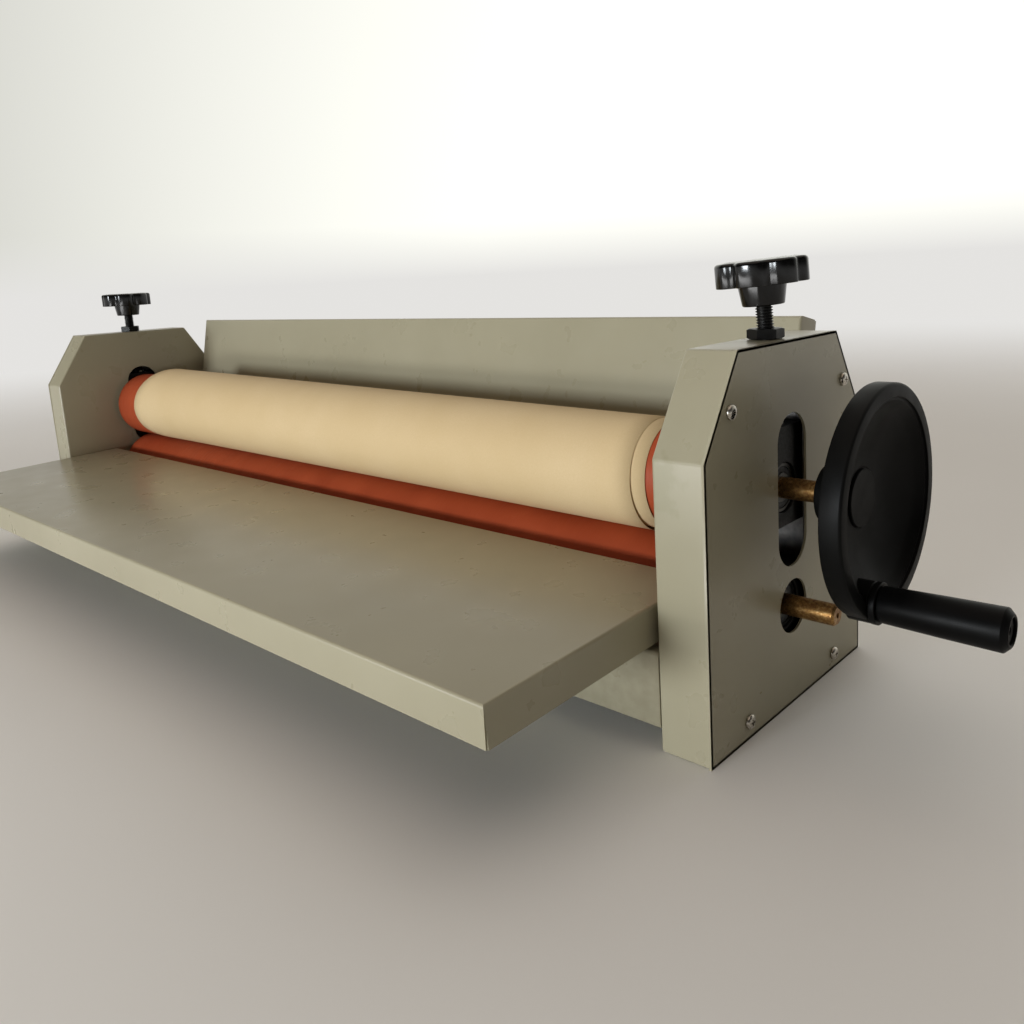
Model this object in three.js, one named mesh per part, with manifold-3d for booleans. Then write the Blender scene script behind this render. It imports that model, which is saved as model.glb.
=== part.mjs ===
// Cold roll laminator with a hand wheel: two side housings carry a fixed lower roller and a sprung
// upper roller, with a folding feed tray in front and another one behind.
// Millimetres, +X along the rollers towards the hand wheel, +Y from the feed side to the back, +Z up.
// The pieces are laid out about the middle of the machine at floor level.
import * as THREE from 'three';
import { mergeVertices } from 'three/addons/utils/BufferGeometryUtils.js';
import Module from 'manifold-3d';

const wasm = await Module();
wasm.setup();

// ---------- driving dimensions ----------
const GAP = 0.3;                     // between solids that touch on the real machine
const RUNNING = 0.1;                 // radial clearance of a turning fit
const SHEET = 1.5;                   // steel sheet of housings and base
const TRAY_SHEET = 1.2;

const ROLLER_SPACE = 780;            // between the inner faces of the two housings
const HOUSING_WIDTH = 30.5;          // along X
const HOUSING_LENGTH = 177;          // front to back
const HOUSING_HEIGHT = 207.5;
const SLANT_RUN = 32.7;              // cut off each upper corner, along Y
const SLANT_RISE = 51;               // and in height
const COVER_REVEAL = 0.6;            // line between cover and rim

const SLOT_WIDTH = 33;
const SLOT_BELOW_AXIS = 44;          // slot ends, from the upper roller's axis
const SLOT_ABOVE_AXIS = 42.5;
const SHAFT_HOLE_RADIUS = 15.6;

const SCREW_POST_RADIUS = 4.6;
const COVER_SCREW_RADIUS = 2;
const COVER_SCREW_LENGTH = 9;
const COVER_SCREW_TAP = 2;           // tapped hole deeper than the screw
const COVER_SCREW_HEAD_RADIUS = 4;
const COVER_SCREW_HEAD = 2.6;
const UPPER_SCREW_DROP = 29.5;       // below the housing's top
const UPPER_SCREW_INSET = 10.7;      // from the slanted edge, along Y
const LOWER_SCREW_RISE = 10.2;       // above the floor
const LOWER_SCREW_INSET = 37.5;      // from the housing's end

const PAN_BOTTOM = 12.5;             // the base pan clears the floor
const PAN_LIP = 12;
const PAN_CLEARANCE = 4.3;           // under the front tray's folded edge
const TIE_BAR_RADIUS = 6;
const TIE_BAR_INSET = 16.5;          // from the housing's end
const TIE_BAR_RISE = 18;             // above the pan's floor
const TIE_BOLT_RADIUS = 3;
const TIE_BOLT_LENGTH = 16;
const TIE_BOLT_TAP = 2;              // tapped hole deeper than the bolt
const TIE_BOLT_HEAD = 4;
const TIE_BOLT_FLATS = 10;

const SHAFT_RADIUS = 6;
const SHAFT_CHAMFER = 1.2;
const SHAFT_END_GAP = 5;             // shaft end to cover, on the plain side
const SLEEVE_RADIUS = 33.2;          // silicone rubber sleeve
const SLEEVE_THICKNESS = 6;
const SLEEVE_END_GAP = 6;            // sleeve end to housing
const CORE_WALL = 3;                 // steel tube under the sleeve
const END_DISC = 12;                 // disc in each end of the tube, along X
const END_DISC_INSET = 2;
const LOWER_AXIS_Z = 57.8;
const LOWER_STUB = 26;               // lower shaft proud of the cover

const PAPER_THICKNESS = 0.9;         // all the turns together
const PAPER_SLACK = 1.9;             // radius of the loose wrap over that of the sleeve
const PAPER_LEFT_MARGIN = 55;        // bare sleeve at each end
const PAPER_RIGHT_MARGIN = 39;

const BEARING_RADIUS = 14;
const BEARING_WIDTH = 8;
const BEARING_RECESS = 1.5;          // bearing face behind the block's outer face
const BLOCK_WALL = 8;                // round the bearing
const BLOCK_SIDE_GAP = 3.25;         // block to the housing's plate and to its cover
const BLOCK_HOLE_CLEARANCE = 4;      // round the shaft, behind the bearing
const SCREW_FLOOR = 4.5;             // between the bearing and the pressure screw's end
const GUIDE_THICKNESS = 9;           // along Y
const GUIDE_DROP = 6;                // below the lower block
const BRIDGE_HEIGHT = 9.5;

const PRESSURE_SCREW_RADIUS = 4.8;
const PRESSURE_SCREW_IN_BLOCK = 16;
const PRESSURE_SCREW_CLEARANCE = 0.6;
const NUT_FLATS = 17.6;
const NUT_HEIGHT = 5.6;
const KNOB_RISE = 18.5;              // above the housing's top with the upper roller down
const KNOB_BOSS_HEIGHT = 11;
const KNOB_BOSS_BOTTOM_RADIUS = 11.4;
const KNOB_BOSS_TOP_RADIUS = 13.1;
const KNOB_HEAD_HEIGHT = 13.6;
const KNOB_RADIUS = 25;
const KNOB_LOBES = 7;
const KNOB_LOBE_DEPTH = 4.2;
const KNOB_EDGE = 3.4;
const KNOB_SOCKET = 16;              // how far the screw goes into the knob

const SPRING_WIRE = 1.1;             // wire radius
const SPRING_CLEARANCE = 2.3;        // wire to pressure screw
const SPRING_TURNS = 5;

const HUB_GAP = 19;                  // cover to wheel hub
const HUB_LENGTH = 15;
const HUB_RADIUS = 16;
const HUB_EDGE = 2;
const SHAFT_IN_HUB = 14;
const WHEEL_RADIUS = 60.8;
const WHEEL_EDGE = 2;
const RIM_WIDTH = 11.5;
const RIM_SETBACK = 43;              // cover to the back of the rim
const RIM_HEIGHT = 8.5;              // radial
const DISH_STEP = 10;                // radial run of the web into the rim
const DISH_FLARE = 12;               // radial run of the web out of the middle boss
const BOSS_RADIUS = 15.7;
const BOSS_GROOVE = 1.6;
const WEB_THICKNESS = 6;
const GRUB_RADIUS = 2.5;

const HANDLE_INSET = 9.4;            // handle axis inside the wheel's radius
const HANDLE_ANGLE = 22.9;           // degrees from straight down, towards the feed side
const HANDLE_PAD_RADIUS = 10.6;
const HANDLE_COLLAR = 3.2;
const HANDLE_COLLAR_RADIUS = 10.8;
const HANDLE_PIN_RADIUS = 3.7;
const GRIP_LENGTH = 60;
const GRIP_START_RADIUS = 9.3;
const GRIP_START_EDGE = 1;
const GRIP_END_RADIUS = 10.6;
const GRIP_CHAMFER = 2.6;
const GRIP_CAP_RADIUS = 6.2;
const GRIP_CAP_DEPTH = 4;
const GRIP_CAP_RECESS = 1.2;

const TRAY_LENGTH = 166;
const TRAY_SIDE_GAP = 4;             // tray to housing
const TRAY_LIP = 21;                 // folded edge height
const TRAY_BACK_LIP = 9;
const TRAY_BEND = 2;                 // outside bend radius
const TRAY_PIVOT_DEPTH = 14;         // tray face to hinge pin
const TRAY_PIVOT_INSET = 17;         // roller end of the tray to hinge pin
const FRONT_ROLLER_GAP = 6.4;        // level tray to lower sleeve
const REAR_ROLLER_GAP = 14.4;
const PIVOT_RISE = 8;                // hinge pins above the lower roller's axis
const FRONT_TRAY_DROOP = 1.7;        // degrees below level
const REAR_TRAY_LEAN = 11.8;         // degrees back from upright
const PIN_RADIUS = 3;
const PIN_HEAD_RADIUS = 5.5;
const PIN_HEAD = 2.5;
const PIN_TAIL = 3;                  // through the housing's plate

const THROUGH = 5;                   // how far a hole's tool runs past the metal
const FINE = 40;                     // facets round the rollers and the wheel
const VERY_FINE = 80;                // round the paper, whose flats must clear the turning sleeve
const MEDIUM = 24;
const SMALL = 12;

// ---------- values that follow ----------
const INNER = ROLLER_SPACE / 2;
const OUTER = INNER + HOUSING_WIDTH;
const HALF_LENGTH = HOUSING_LENGTH / 2;
const SLEEVE_HALF = INNER - SLEEVE_END_GAP;
const CORE_RADIUS = SLEEVE_RADIUS - SLEEVE_THICKNESS;
const NIP = GAP + PAPER_THICKNESS + RUNNING;
const UPPER_AXIS_Z = LOWER_AXIS_Z + 2 * SLEEVE_RADIUS + NIP;

const SCREW_X = INNER + HOUSING_WIDTH / 2;
const BLOCK_IN = INNER + SHEET + BLOCK_SIDE_GAP;
const BLOCK_OUT = OUTER - SHEET - BLOCK_SIDE_GAP;
const BLOCK_HALF_LENGTH = BEARING_RADIUS + BLOCK_WALL;
const UPPER_BLOCK_TOP = UPPER_AXIS_Z + BEARING_RADIUS + SCREW_FLOOR + PRESSURE_SCREW_IN_BLOCK;
const LOWER_BLOCK_TOP = LOWER_AXIS_Z + BLOCK_HALF_LENGTH;
const GUIDE_BOTTOM = LOWER_AXIS_Z - BLOCK_HALF_LENGTH - GUIDE_DROP;
const BEARING_OUT = BLOCK_OUT - BEARING_RECESS;
const BEARING_IN = BEARING_OUT - BEARING_WIDTH;
const BRIDGE_TOP = HOUSING_HEIGHT - SHEET - GAP;
const BRIDGE_BOTTOM = BRIDGE_TOP - BRIDGE_HEIGHT;
const SPRING_RADIUS = PRESSURE_SCREW_RADIUS + SPRING_CLEARANCE + SPRING_WIRE;
const KNOB_BOTTOM = HOUSING_HEIGHT + KNOB_RISE;

const RIM_BACK = OUTER + RIM_SETBACK;
const RIM_FRONT = RIM_BACK + RIM_WIDTH;
const HUB_BACK = OUTER + HUB_GAP;
const HANDLE_REACH = WHEEL_RADIUS - HANDLE_INSET;
const HANDLE_Y = -HANDLE_REACH * Math.sin(THREE.MathUtils.degToRad(HANDLE_ANGLE));
const HANDLE_Z = UPPER_AXIS_Z - HANDLE_REACH * Math.cos(THREE.MathUtils.degToRad(HANDLE_ANGLE));

const TRAY_HALF_WIDTH = INNER - TRAY_SIDE_GAP;
const PIVOT_Z = LOWER_AXIS_Z + PIVOT_RISE;
const FRONT_PIVOT_Y = -(SLEEVE_RADIUS + FRONT_ROLLER_GAP + TRAY_PIVOT_INSET);
const REAR_PIVOT_Y = SLEEVE_RADIUS + REAR_ROLLER_GAP + TRAY_PIVOT_INSET;
const PAN_TOP = PIVOT_Z + TRAY_PIVOT_DEPTH - TRAY_LIP - PAN_CLEARANCE;
const TIE_BAR_Y = HALF_LENGTH - TIE_BAR_INSET;
const TIE_BAR_Z = PAN_BOTTOM + SHEET + TIE_BAR_RISE;

// ---------- materials ----------
const finish = (color, roughness, metalness = 0) =>
  new THREE.MeshStandardMaterial({ color, roughness, metalness });
const putty = finish(0xa8a184, 0.45, 0.1);
const nickel = finish(0xb9b4a8, 0.3, 1);
const zinc = finish(0x8f8f8c, 0.45, 1);
const brownSteel = finish(0x6a4a30, 0.45, 0.9);
const castGrey = finish(0x5b5a54, 0.6, 0.7);
const brightSteel = finish(0xa5a5a3, 0.3, 1);
const blackSteel = finish(0x1c1c1c, 0.5, 0.8);
const redRubber = finish(0x9a4a2c, 0.65);
const kraftPaper = finish(0xd2b98c, 0.85);
const glossBlack = finish(0x0d0d0e, 0.2);
const mattBlack = finish(0x18181a, 0.55);

// ---------- geometry helpers ----------
// Indexed position-only mesh with no slivers, faces turned outwards.
function weld(geometry) {
  const bare = geometry.clone();
  bare.deleteAttribute('normal');
  bare.deleteAttribute('uv');
  const merged = mergeVertices(bare, 1e-4);
  const index = merged.index.array;
  const place = merged.attributes.position;
  const kept = [];
  const a = new THREE.Vector3();
  const b = new THREE.Vector3();
  const c = new THREE.Vector3();
  let volume = 0;
  for (let i = 0; i < index.length; i += 3) {
    const [p, q, r] = [index[i], index[i + 1], index[i + 2]];
    if (p === q || q === r || r === p) continue;
    kept.push(p, q, r);
    a.fromBufferAttribute(place, p);
    b.fromBufferAttribute(place, q);
    c.fromBufferAttribute(place, r);
    volume += a.dot(b.cross(c));
  }
  if (volume < 0) kept.reverse();
  merged.setIndex(kept);
  return merged;
}

function toSolid(geometry) {
  const welded = weld(geometry);
  return new wasm.Manifold(new wasm.Mesh({
    numProp: 3,
    vertProperties: new Float32Array(welded.attributes.position.array),
    triVerts: new Uint32Array(welded.index.array),
  }));
}

function toGeometry(solid) {
  const mesh = solid.getMesh();
  const geometry = new THREE.BufferGeometry();
  geometry.setAttribute('position', new THREE.BufferAttribute(mesh.vertProperties, 3));
  geometry.setIndex(new THREE.BufferAttribute(mesh.triVerts, 1));
  return geometry;
}

const cut = (body, ...tools) =>
  toGeometry(tools.reduce((solid, tool) => solid.subtract(toSolid(tool)), toSolid(body)));
const join = (body, ...more) =>
  toGeometry(more.reduce((solid, other) => solid.add(toSolid(other)), toSolid(body)));
const common = (one, other) => toGeometry(toSolid(one).intersect(toSolid(other)));

const turn = (xTo, yTo, zTo) => new THREE.Matrix4().makeBasis(
  new THREE.Vector3(...xTo), new THREE.Vector3(...yTo), new THREE.Vector3(...zTo));
const ALONG_X = turn([0, 1, 0], [0, 0, 1], [1, 0, 0]);
const ALONG_Y = turn([0, 0, 1], [1, 0, 0], [0, 1, 0]);
const LATHE_X = turn([0, 1, 0], [1, 0, 0], [0, 0, -1]);
const LATHE_Z = turn([1, 0, 0], [0, 0, 1], [0, -1, 0]);

const flat = { bevelEnabled: false, curveSegments: 8 };

// A (y, z) outline drawn out from x0 to x1.
const drawX = (shape, x0, x1) => new THREE.ExtrudeGeometry(shape, { ...flat, depth: x1 - x0 })
  .applyMatrix4(ALONG_X).translate(x0, 0, 0);
// A (z, x) outline drawn out from y0 to y1.
const drawY = (shape, y0, y1) => new THREE.ExtrudeGeometry(shape, { ...flat, depth: y1 - y0 })
  .applyMatrix4(ALONG_Y).translate(0, y0, 0);
const box = (x0, x1, y0, y1, z0, z1) => new THREE.BoxGeometry(x1 - x0, y1 - y0, z1 - z0)
  .translate((x0 + x1) / 2, (y0 + y1) / 2, (z0 + z1) / 2);
// [x, radius] pairs turned about an axis along X through (y, z).
const turnX = (profile, y, z, facets) =>
  new THREE.LatheGeometry(profile.map(([x, r]) => new THREE.Vector2(r, x)), facets)
    .applyMatrix4(LATHE_X).translate(0, y, z);
// [z, radius] pairs turned about an upright axis through (x, y).
const turnZ = (profile, x, y, facets) =>
  new THREE.LatheGeometry(profile.map(([z, r]) => new THREE.Vector2(r, z)), facets)
    .applyMatrix4(LATHE_Z).translate(x, y, 0);
const rodX = (x0, x1, radius, y, z, facets) =>
  turnX([[x0, 0], [x0, radius], [x1, radius], [x1, 0]], y, z, facets);
const rodZ = (z0, z1, radius, x, y, facets) =>
  turnZ([[z0, 0], [z0, radius], [z1, radius], [z1, 0]], x, y, facets);
const ringX = (x0, x1, inside, outside, y, z, facets) =>
  turnX([[x0, inside], [x0, outside], [x1, outside], [x1, inside], [x0, inside]], y, z, facets);

function polygon(points) {
  return new THREE.Shape(points.map(([u, v]) => new THREE.Vector2(u, v)));
}

// The [near, far] stretch of X on the chosen side of the machine, lowest first.
const span = (side, near, far) => (side > 0 ? [near, far] : [-far, -near]);
const sideName = (side) => (side > 0 ? 'right' : 'left');

const machine = new THREE.Group();
function add(name, geometry, material, parent = machine) {
  const mesh = new THREE.Mesh(weld(geometry), material);
  mesh.name = name;
  parent.add(mesh);
  return mesh;
}

// ---------- side housings ----------
// Six-sided side outline, moved inwards by inset on every edge.
function sideOutline(inset) {
  const slant = Math.hypot(SLANT_RUN, SLANT_RISE);
  const kneeDrop = inset * (slant - SLANT_RISE) / SLANT_RUN;
  const topPull = inset * (slant - SLANT_RUN) / SLANT_RISE;
  const half = HALF_LENGTH - inset;
  const topHalf = HALF_LENGTH - SLANT_RUN - topPull;
  const knee = HOUSING_HEIGHT - SLANT_RISE - kneeDrop;
  const top = HOUSING_HEIGHT - inset;
  return polygon([
    [-half, inset], [half, inset], [half, knee], [topHalf, top], [-topHalf, top], [-half, knee],
  ]);
}

function slotOutline() {
  const r = SLOT_WIDTH / 2;
  const low = UPPER_AXIS_Z - SLOT_BELOW_AXIS + r;
  const high = UPPER_AXIS_Z + SLOT_ABOVE_AXIS - r;
  const slot = new THREE.Shape();
  slot.moveTo(r, low);
  slot.lineTo(r, high);
  slot.absarc(0, high, r, 0, Math.PI, false);
  slot.lineTo(-r, low);
  slot.absarc(0, low, r, Math.PI, 2 * Math.PI, false);
  return slot;
}

// Two screws beside the slants and two above the floor, as (y, z).
const upperScrewZ = HOUSING_HEIGHT - UPPER_SCREW_DROP;
const slantAtScrew = HALF_LENGTH - SLANT_RUN * (SLANT_RISE - UPPER_SCREW_DROP) / SLANT_RISE;
const upperScrewY = slantAtScrew - UPPER_SCREW_INSET;
const lowerScrewY = HALF_LENGTH - LOWER_SCREW_INSET;
const coverScrews = [
  [-upperScrewY, upperScrewZ], [upperScrewY, upperScrewZ],
  [-lowerScrewY, LOWER_SCREW_RISE], [lowerScrewY, LOWER_SCREW_RISE],
];

const pivots = [[FRONT_PIVOT_Y, PIVOT_Z], [REAR_PIVOT_Y, PIVOT_Z]];
const tieBars = [[-TIE_BAR_Y, TIE_BAR_Z], [TIE_BAR_Y, TIE_BAR_Z]];

function buildHousing(side) {
  const [shellFrom, shellTo] = span(side, INNER, OUTER);
  const [hollowFrom, hollowTo] = span(side, INNER + SHEET, OUTER + THROUGH);
  const [plateFrom, plateTo] = span(side, INNER - THROUGH, INNER + SHEET + THROUGH);
  const [postFrom, postTo] = span(side, INNER + SHEET / 2, OUTER - SHEET - GAP);
  const [tapFrom, tapTo] = span(side, OUTER - COVER_SCREW_LENGTH - COVER_SCREW_TAP, OUTER);
  const hollow = cut(drawX(sideOutline(0), shellFrom, shellTo),
    drawX(sideOutline(SHEET), hollowFrom, hollowTo));
  const posts = coverScrews.map(([y, z]) => rodX(postFrom, postTo, SCREW_POST_RADIUS, y, z, SMALL));
  const taps = coverScrews.map(([y, z]) => rodX(tapFrom, tapTo, COVER_SCREW_RADIUS + GAP, y, z, SMALL));
  const pinHoles = pivots.map(([y, z]) => rodX(plateFrom, plateTo, PIN_RADIUS + GAP, y, z, SMALL));
  const boltHoles = tieBars.map(([y, z]) => rodX(plateFrom, plateTo, TIE_BOLT_RADIUS + GAP, y, z, SMALL));
  const screwHole = rodZ(HOUSING_HEIGHT - THROUGH, HOUSING_HEIGHT + THROUGH,
    PRESSURE_SCREW_RADIUS + PRESSURE_SCREW_CLEARANCE, side * SCREW_X, 0, MEDIUM);
  add(`${sideName(side)}_housing`, cut(join(hollow, ...posts), ...taps, ...pinHoles, ...boltHoles, screwHole,
    ...shaftOpenings(plateFrom, plateTo)), putty);
}

// Slot for the upper shaft to rise in and round hole for the lower one.
function shaftOpenings(from, to) {
  return [drawX(slotOutline(), from, to), rodX(from, to, SHAFT_HOLE_RADIUS, 0, LOWER_AXIS_Z, MEDIUM)];
}

// Both shafts come out through the right cover; the left one is closed.
function buildCover(side) {
  const [from, to] = span(side, OUTER - SHEET, OUTER);
  const [throughFrom, throughTo] = span(side, OUTER - THROUGH, OUTER + THROUGH);
  const holes = coverScrews.map(([y, z]) =>
    rodX(throughFrom, throughTo, COVER_SCREW_RADIUS + GAP, y, z, SMALL));
  const openings = side > 0 ? shaftOpenings(throughFrom, throughTo) : [];
  add(`${sideName(side)}_cover`,
    cut(drawX(sideOutline(SHEET + COVER_REVEAL), from, to), ...holes, ...openings), putty);
}

function buildCoverScrews(side) {
  const seat = OUTER + GAP;
  const tip = OUTER - COVER_SCREW_LENGTH;
  const crown = seat + COVER_SCREW_HEAD;
  const profile = [
    [tip, 0], [tip, COVER_SCREW_RADIUS], [seat, COVER_SCREW_RADIUS], [seat, COVER_SCREW_HEAD_RADIUS],
    [crown - 1.1, COVER_SCREW_HEAD_RADIUS - 0.3], [crown - 0.2, COVER_SCREW_HEAD_RADIUS - 1.6], [crown, 0],
  ].map(([x, r]) => [side * x, r]);
  coverScrews.forEach(([y, z], i) =>
    add(`${sideName(side)}_cover_screw_${i + 1}`, turnX(profile, y, z, SMALL), nickel));
}

// ---------- base ----------
function buildBasePan() {
  const out = HALF_LENGTH;
  const inn = out - SHEET;
  const lip = out - PAN_LIP;
  const under = PAN_TOP - SHEET;
  const floor = PAN_BOTTOM + SHEET;
  const section = polygon([
    [-out, PAN_BOTTOM], [out, PAN_BOTTOM], [out, PAN_TOP], [lip, PAN_TOP], [lip, under], [inn, under],
    [inn, floor], [-inn, floor], [-inn, under], [-lip, under], [-lip, PAN_TOP], [-out, PAN_TOP],
  ]);
  add('base_pan', drawX(section, -INNER + GAP, INNER - GAP), putty);
}

function buildTieBar(name, [y, z]) {
  const end = INNER - GAP;
  const tap = TIE_BOLT_LENGTH + TIE_BOLT_TAP;
  add(name, cut(rodX(-end, end, TIE_BAR_RADIUS, y, z, SMALL),
    rodX(-end - THROUGH, -end + tap, TIE_BOLT_RADIUS + GAP, y, z, SMALL),
    rodX(end - tap, end + THROUGH, TIE_BOLT_RADIUS + GAP, y, z, SMALL)), zinc);
}

function buildTieBolts(side) {
  const seat = INNER + SHEET + GAP;
  tieBars.forEach(([y, z], i) => {
    const [shankFrom, shankTo] = span(side, seat - TIE_BOLT_LENGTH, seat + TIE_BOLT_HEAD / 2);
    const [headFrom, headTo] = span(side, seat, seat + TIE_BOLT_HEAD);
    add(`${sideName(side)}_tie_bolt_${i + 1}`, join(
      rodX(shankFrom, shankTo, TIE_BOLT_RADIUS, y, z, SMALL),
      rodX(headFrom, headTo, TIE_BOLT_FLATS / Math.sqrt(3), y, z, 6)), zinc);
  });
}

// ---------- bearing blocks and their guides ----------
function buildBlock(name, side, axisZ, top, ...screwHoles) {
  const [from, to] = span(side, BLOCK_IN, BLOCK_OUT);
  const [boreFrom, boreTo] = span(side, BEARING_IN - GAP, BLOCK_OUT + THROUGH);
  const half = BLOCK_HALF_LENGTH;
  add(name, cut(box(from, to, -half, half, axisZ - half, top),
    rodX(from - THROUGH, to + THROUGH, SHAFT_RADIUS + BLOCK_HOLE_CLEARANCE, 0, axisZ, MEDIUM),
    rodX(boreFrom, boreTo, BEARING_RADIUS + GAP, 0, axisZ, MEDIUM), ...screwHoles), castGrey);
}

function buildBlocks(side) {
  const screwHole = rodZ(UPPER_BLOCK_TOP - PRESSURE_SCREW_IN_BLOCK - GAP, UPPER_BLOCK_TOP + THROUGH,
    PRESSURE_SCREW_RADIUS + GAP, side * SCREW_X, 0, SMALL);
  buildBlock(`${sideName(side)}_upper_bearing_block`, side, UPPER_AXIS_Z, UPPER_BLOCK_TOP, screwHole);
  buildBlock(`${sideName(side)}_lower_bearing_block`, side, LOWER_AXIS_Z, LOWER_BLOCK_TOP);
}

function buildBearing(name, side, axisZ) {
  const [from, to] = span(side, BEARING_IN, BEARING_OUT);
  add(name, ringX(from, to, SHAFT_RADIUS + RUNNING, BEARING_RADIUS, 0, axisZ, MEDIUM), brightSteel);
}

function buildGuides(side) {
  const [from, to] = span(side, INNER + SHEET + GAP, BLOCK_OUT);
  const near = BLOCK_HALF_LENGTH + GAP;
  const far = near + GUIDE_THICKNESS;
  const top = BRIDGE_BOTTOM - GAP;
  add(`${sideName(side)}_front_guide`, box(from, to, -far, -near, GUIDE_BOTTOM, top), zinc);
  add(`${sideName(side)}_rear_guide`, box(from, to, near, far, GUIDE_BOTTOM, top), zinc);
}

function buildBridge(side) {
  const [from, to] = span(side, BLOCK_IN, BLOCK_OUT);
  const half = BLOCK_HALF_LENGTH + GAP + GUIDE_THICKNESS;
  add(`${sideName(side)}_screw_bridge`, cut(box(from, to, -half, half, BRIDGE_BOTTOM, BRIDGE_TOP),
    rodZ(BRIDGE_BOTTOM - THROUGH, BRIDGE_TOP + THROUGH, PRESSURE_SCREW_RADIUS + GAP,
      side * SCREW_X, 0, SMALL)),
  zinc);
}

// ---------- rollers ----------
function buildRoller(name, axisZ, rightEnd) {
  const plainEnd = -(OUTER - SHEET - SHAFT_END_GAP);
  const discOut = SLEEVE_HALF - END_DISC_INSET;
  const discIn = discOut - END_DISC;
  const discRadius = CORE_RADIUS - CORE_WALL - GAP;
  const chamfered = SHAFT_RADIUS - SHAFT_CHAMFER;
  add(`${name}_shaft`, turnX([
    [plainEnd, 0], [plainEnd, chamfered], [plainEnd + SHAFT_CHAMFER, SHAFT_RADIUS],
    [-discOut, SHAFT_RADIUS], [-discOut, discRadius], [-discIn, discRadius], [-discIn, SHAFT_RADIUS],
    [discIn, SHAFT_RADIUS], [discIn, discRadius], [discOut, discRadius], [discOut, SHAFT_RADIUS],
    [rightEnd - SHAFT_CHAMFER, SHAFT_RADIUS], [rightEnd, chamfered], [rightEnd, 0],
  ], 0, axisZ, MEDIUM), brownSteel);
  add(`${name}_core_tube`,
    ringX(-SLEEVE_HALF, SLEEVE_HALF, CORE_RADIUS - CORE_WALL, CORE_RADIUS, 0, axisZ, MEDIUM), zinc);
  add(`${name}_rubber_sleeve`,
    ringX(-SLEEVE_HALF, SLEEVE_HALF, CORE_RADIUS + GAP, SLEEVE_RADIUS, 0, axisZ, FINE), redRubber);
}

// The wrap is pinched between the sleeves and stands off the upper one everywhere else, so its
// middle is above the roller's axis.
function buildPaperWrap() {
  const inside = SLEEVE_RADIUS + PAPER_SLACK;
  add('paper_wrap', ringX(-SLEEVE_HALF + PAPER_LEFT_MARGIN, SLEEVE_HALF - PAPER_RIGHT_MARGIN,
    inside, inside + PAPER_THICKNESS, 0, UPPER_AXIS_Z + PAPER_SLACK - RUNNING, VERY_FINE), kraftPaper);
}

// ---------- pressure screws ----------
function lobedOutline() {
  const pointsPerLobe = 6;
  const count = KNOB_LOBES * pointsPerLobe;
  const outline = new THREE.Shape();
  const body = KNOB_RADIUS - KNOB_EDGE;
  for (let i = 0; i < count; i += 1) {
    const angle = (2 * Math.PI * i) / count;
    const radius = body - (KNOB_LOBE_DEPTH * (1 - Math.cos(KNOB_LOBES * angle))) / 2;
    const [u, v] = [radius * Math.cos(angle), radius * Math.sin(angle)];
    if (i === 0) outline.moveTo(u, v);
    else outline.lineTo(u, v);
  }
  return outline;
}

function buildKnob(side) {
  const x = side * SCREW_X;
  const headBottom = KNOB_BOTTOM + KNOB_BOSS_HEIGHT;
  const bossTop = headBottom + KNOB_EDGE;
  const head = new THREE.ExtrudeGeometry(lobedOutline(), {
    depth: KNOB_HEAD_HEIGHT - 2 * KNOB_EDGE, bevelEnabled: true, bevelThickness: KNOB_EDGE,
    bevelSize: KNOB_EDGE, bevelSegments: 2, curveSegments: 1,
  }).translate(x, 0, headBottom + KNOB_EDGE);
  const boss = turnZ([[KNOB_BOTTOM, 0], [KNOB_BOTTOM, KNOB_BOSS_BOTTOM_RADIUS],
    [bossTop, KNOB_BOSS_TOP_RADIUS], [bossTop, 0]], x, 0, MEDIUM);
  const socket = rodZ(KNOB_BOTTOM - THROUGH, KNOB_BOTTOM + KNOB_SOCKET + GAP, PRESSURE_SCREW_RADIUS + GAP,
    x, 0, SMALL);
  add(`${sideName(side)}_pressure_knob`, cut(join(head, boss), socket), glossBlack);
}

function buildPressureScrew(side) {
  const bottom = UPPER_BLOCK_TOP - PRESSURE_SCREW_IN_BLOCK;
  add(`${sideName(side)}_pressure_screw`, rodZ(bottom, KNOB_BOTTOM + KNOB_SOCKET, PRESSURE_SCREW_RADIUS,
    side * SCREW_X, 0, SMALL), blackSteel);
}

function buildLockNut(side) {
  const bottom = HOUSING_HEIGHT + GAP;
  const x = side * SCREW_X;
  const top = bottom + NUT_HEIGHT;
  add(`${sideName(side)}_hex_nut`, cut(rodZ(bottom, top, NUT_FLATS / Math.sqrt(3), x, 0, 6),
    rodZ(bottom - THROUGH, top + THROUGH, PRESSURE_SCREW_RADIUS + GAP, x, 0, SMALL)), blackSteel);
}

class Helix extends THREE.Curve {
  constructor(x, bottom, top) {
    super();
    Object.assign(this, { x, bottom, top });
  }

  getPoint(t) {
    const angle = 2 * Math.PI * SPRING_TURNS * t;
    return new THREE.Vector3(this.x + SPRING_RADIUS * Math.cos(angle), SPRING_RADIUS * Math.sin(angle),
      this.bottom + (this.top - this.bottom) * t);
  }
}

function buildSpring(side) {
  const wireSides = 6;
  const stepsPerTurn = 12;
  const inset = SPRING_WIRE + GAP;
  const path = new Helix(side * SCREW_X, UPPER_BLOCK_TOP + inset, BRIDGE_BOTTOM - inset);
  const wire = polygon(Array.from({ length: wireSides }, (_, i) => {
    const angle = (2 * Math.PI * i) / wireSides;
    return [SPRING_WIRE * Math.cos(angle), SPRING_WIRE * Math.sin(angle)];
  }));
  add(`${sideName(side)}_pressure_spring`, new THREE.ExtrudeGeometry(wire, {
    steps: SPRING_TURNS * stepsPerTurn, extrudePath: path, curveSegments: 1,
  }), brightSteel);
}

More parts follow.
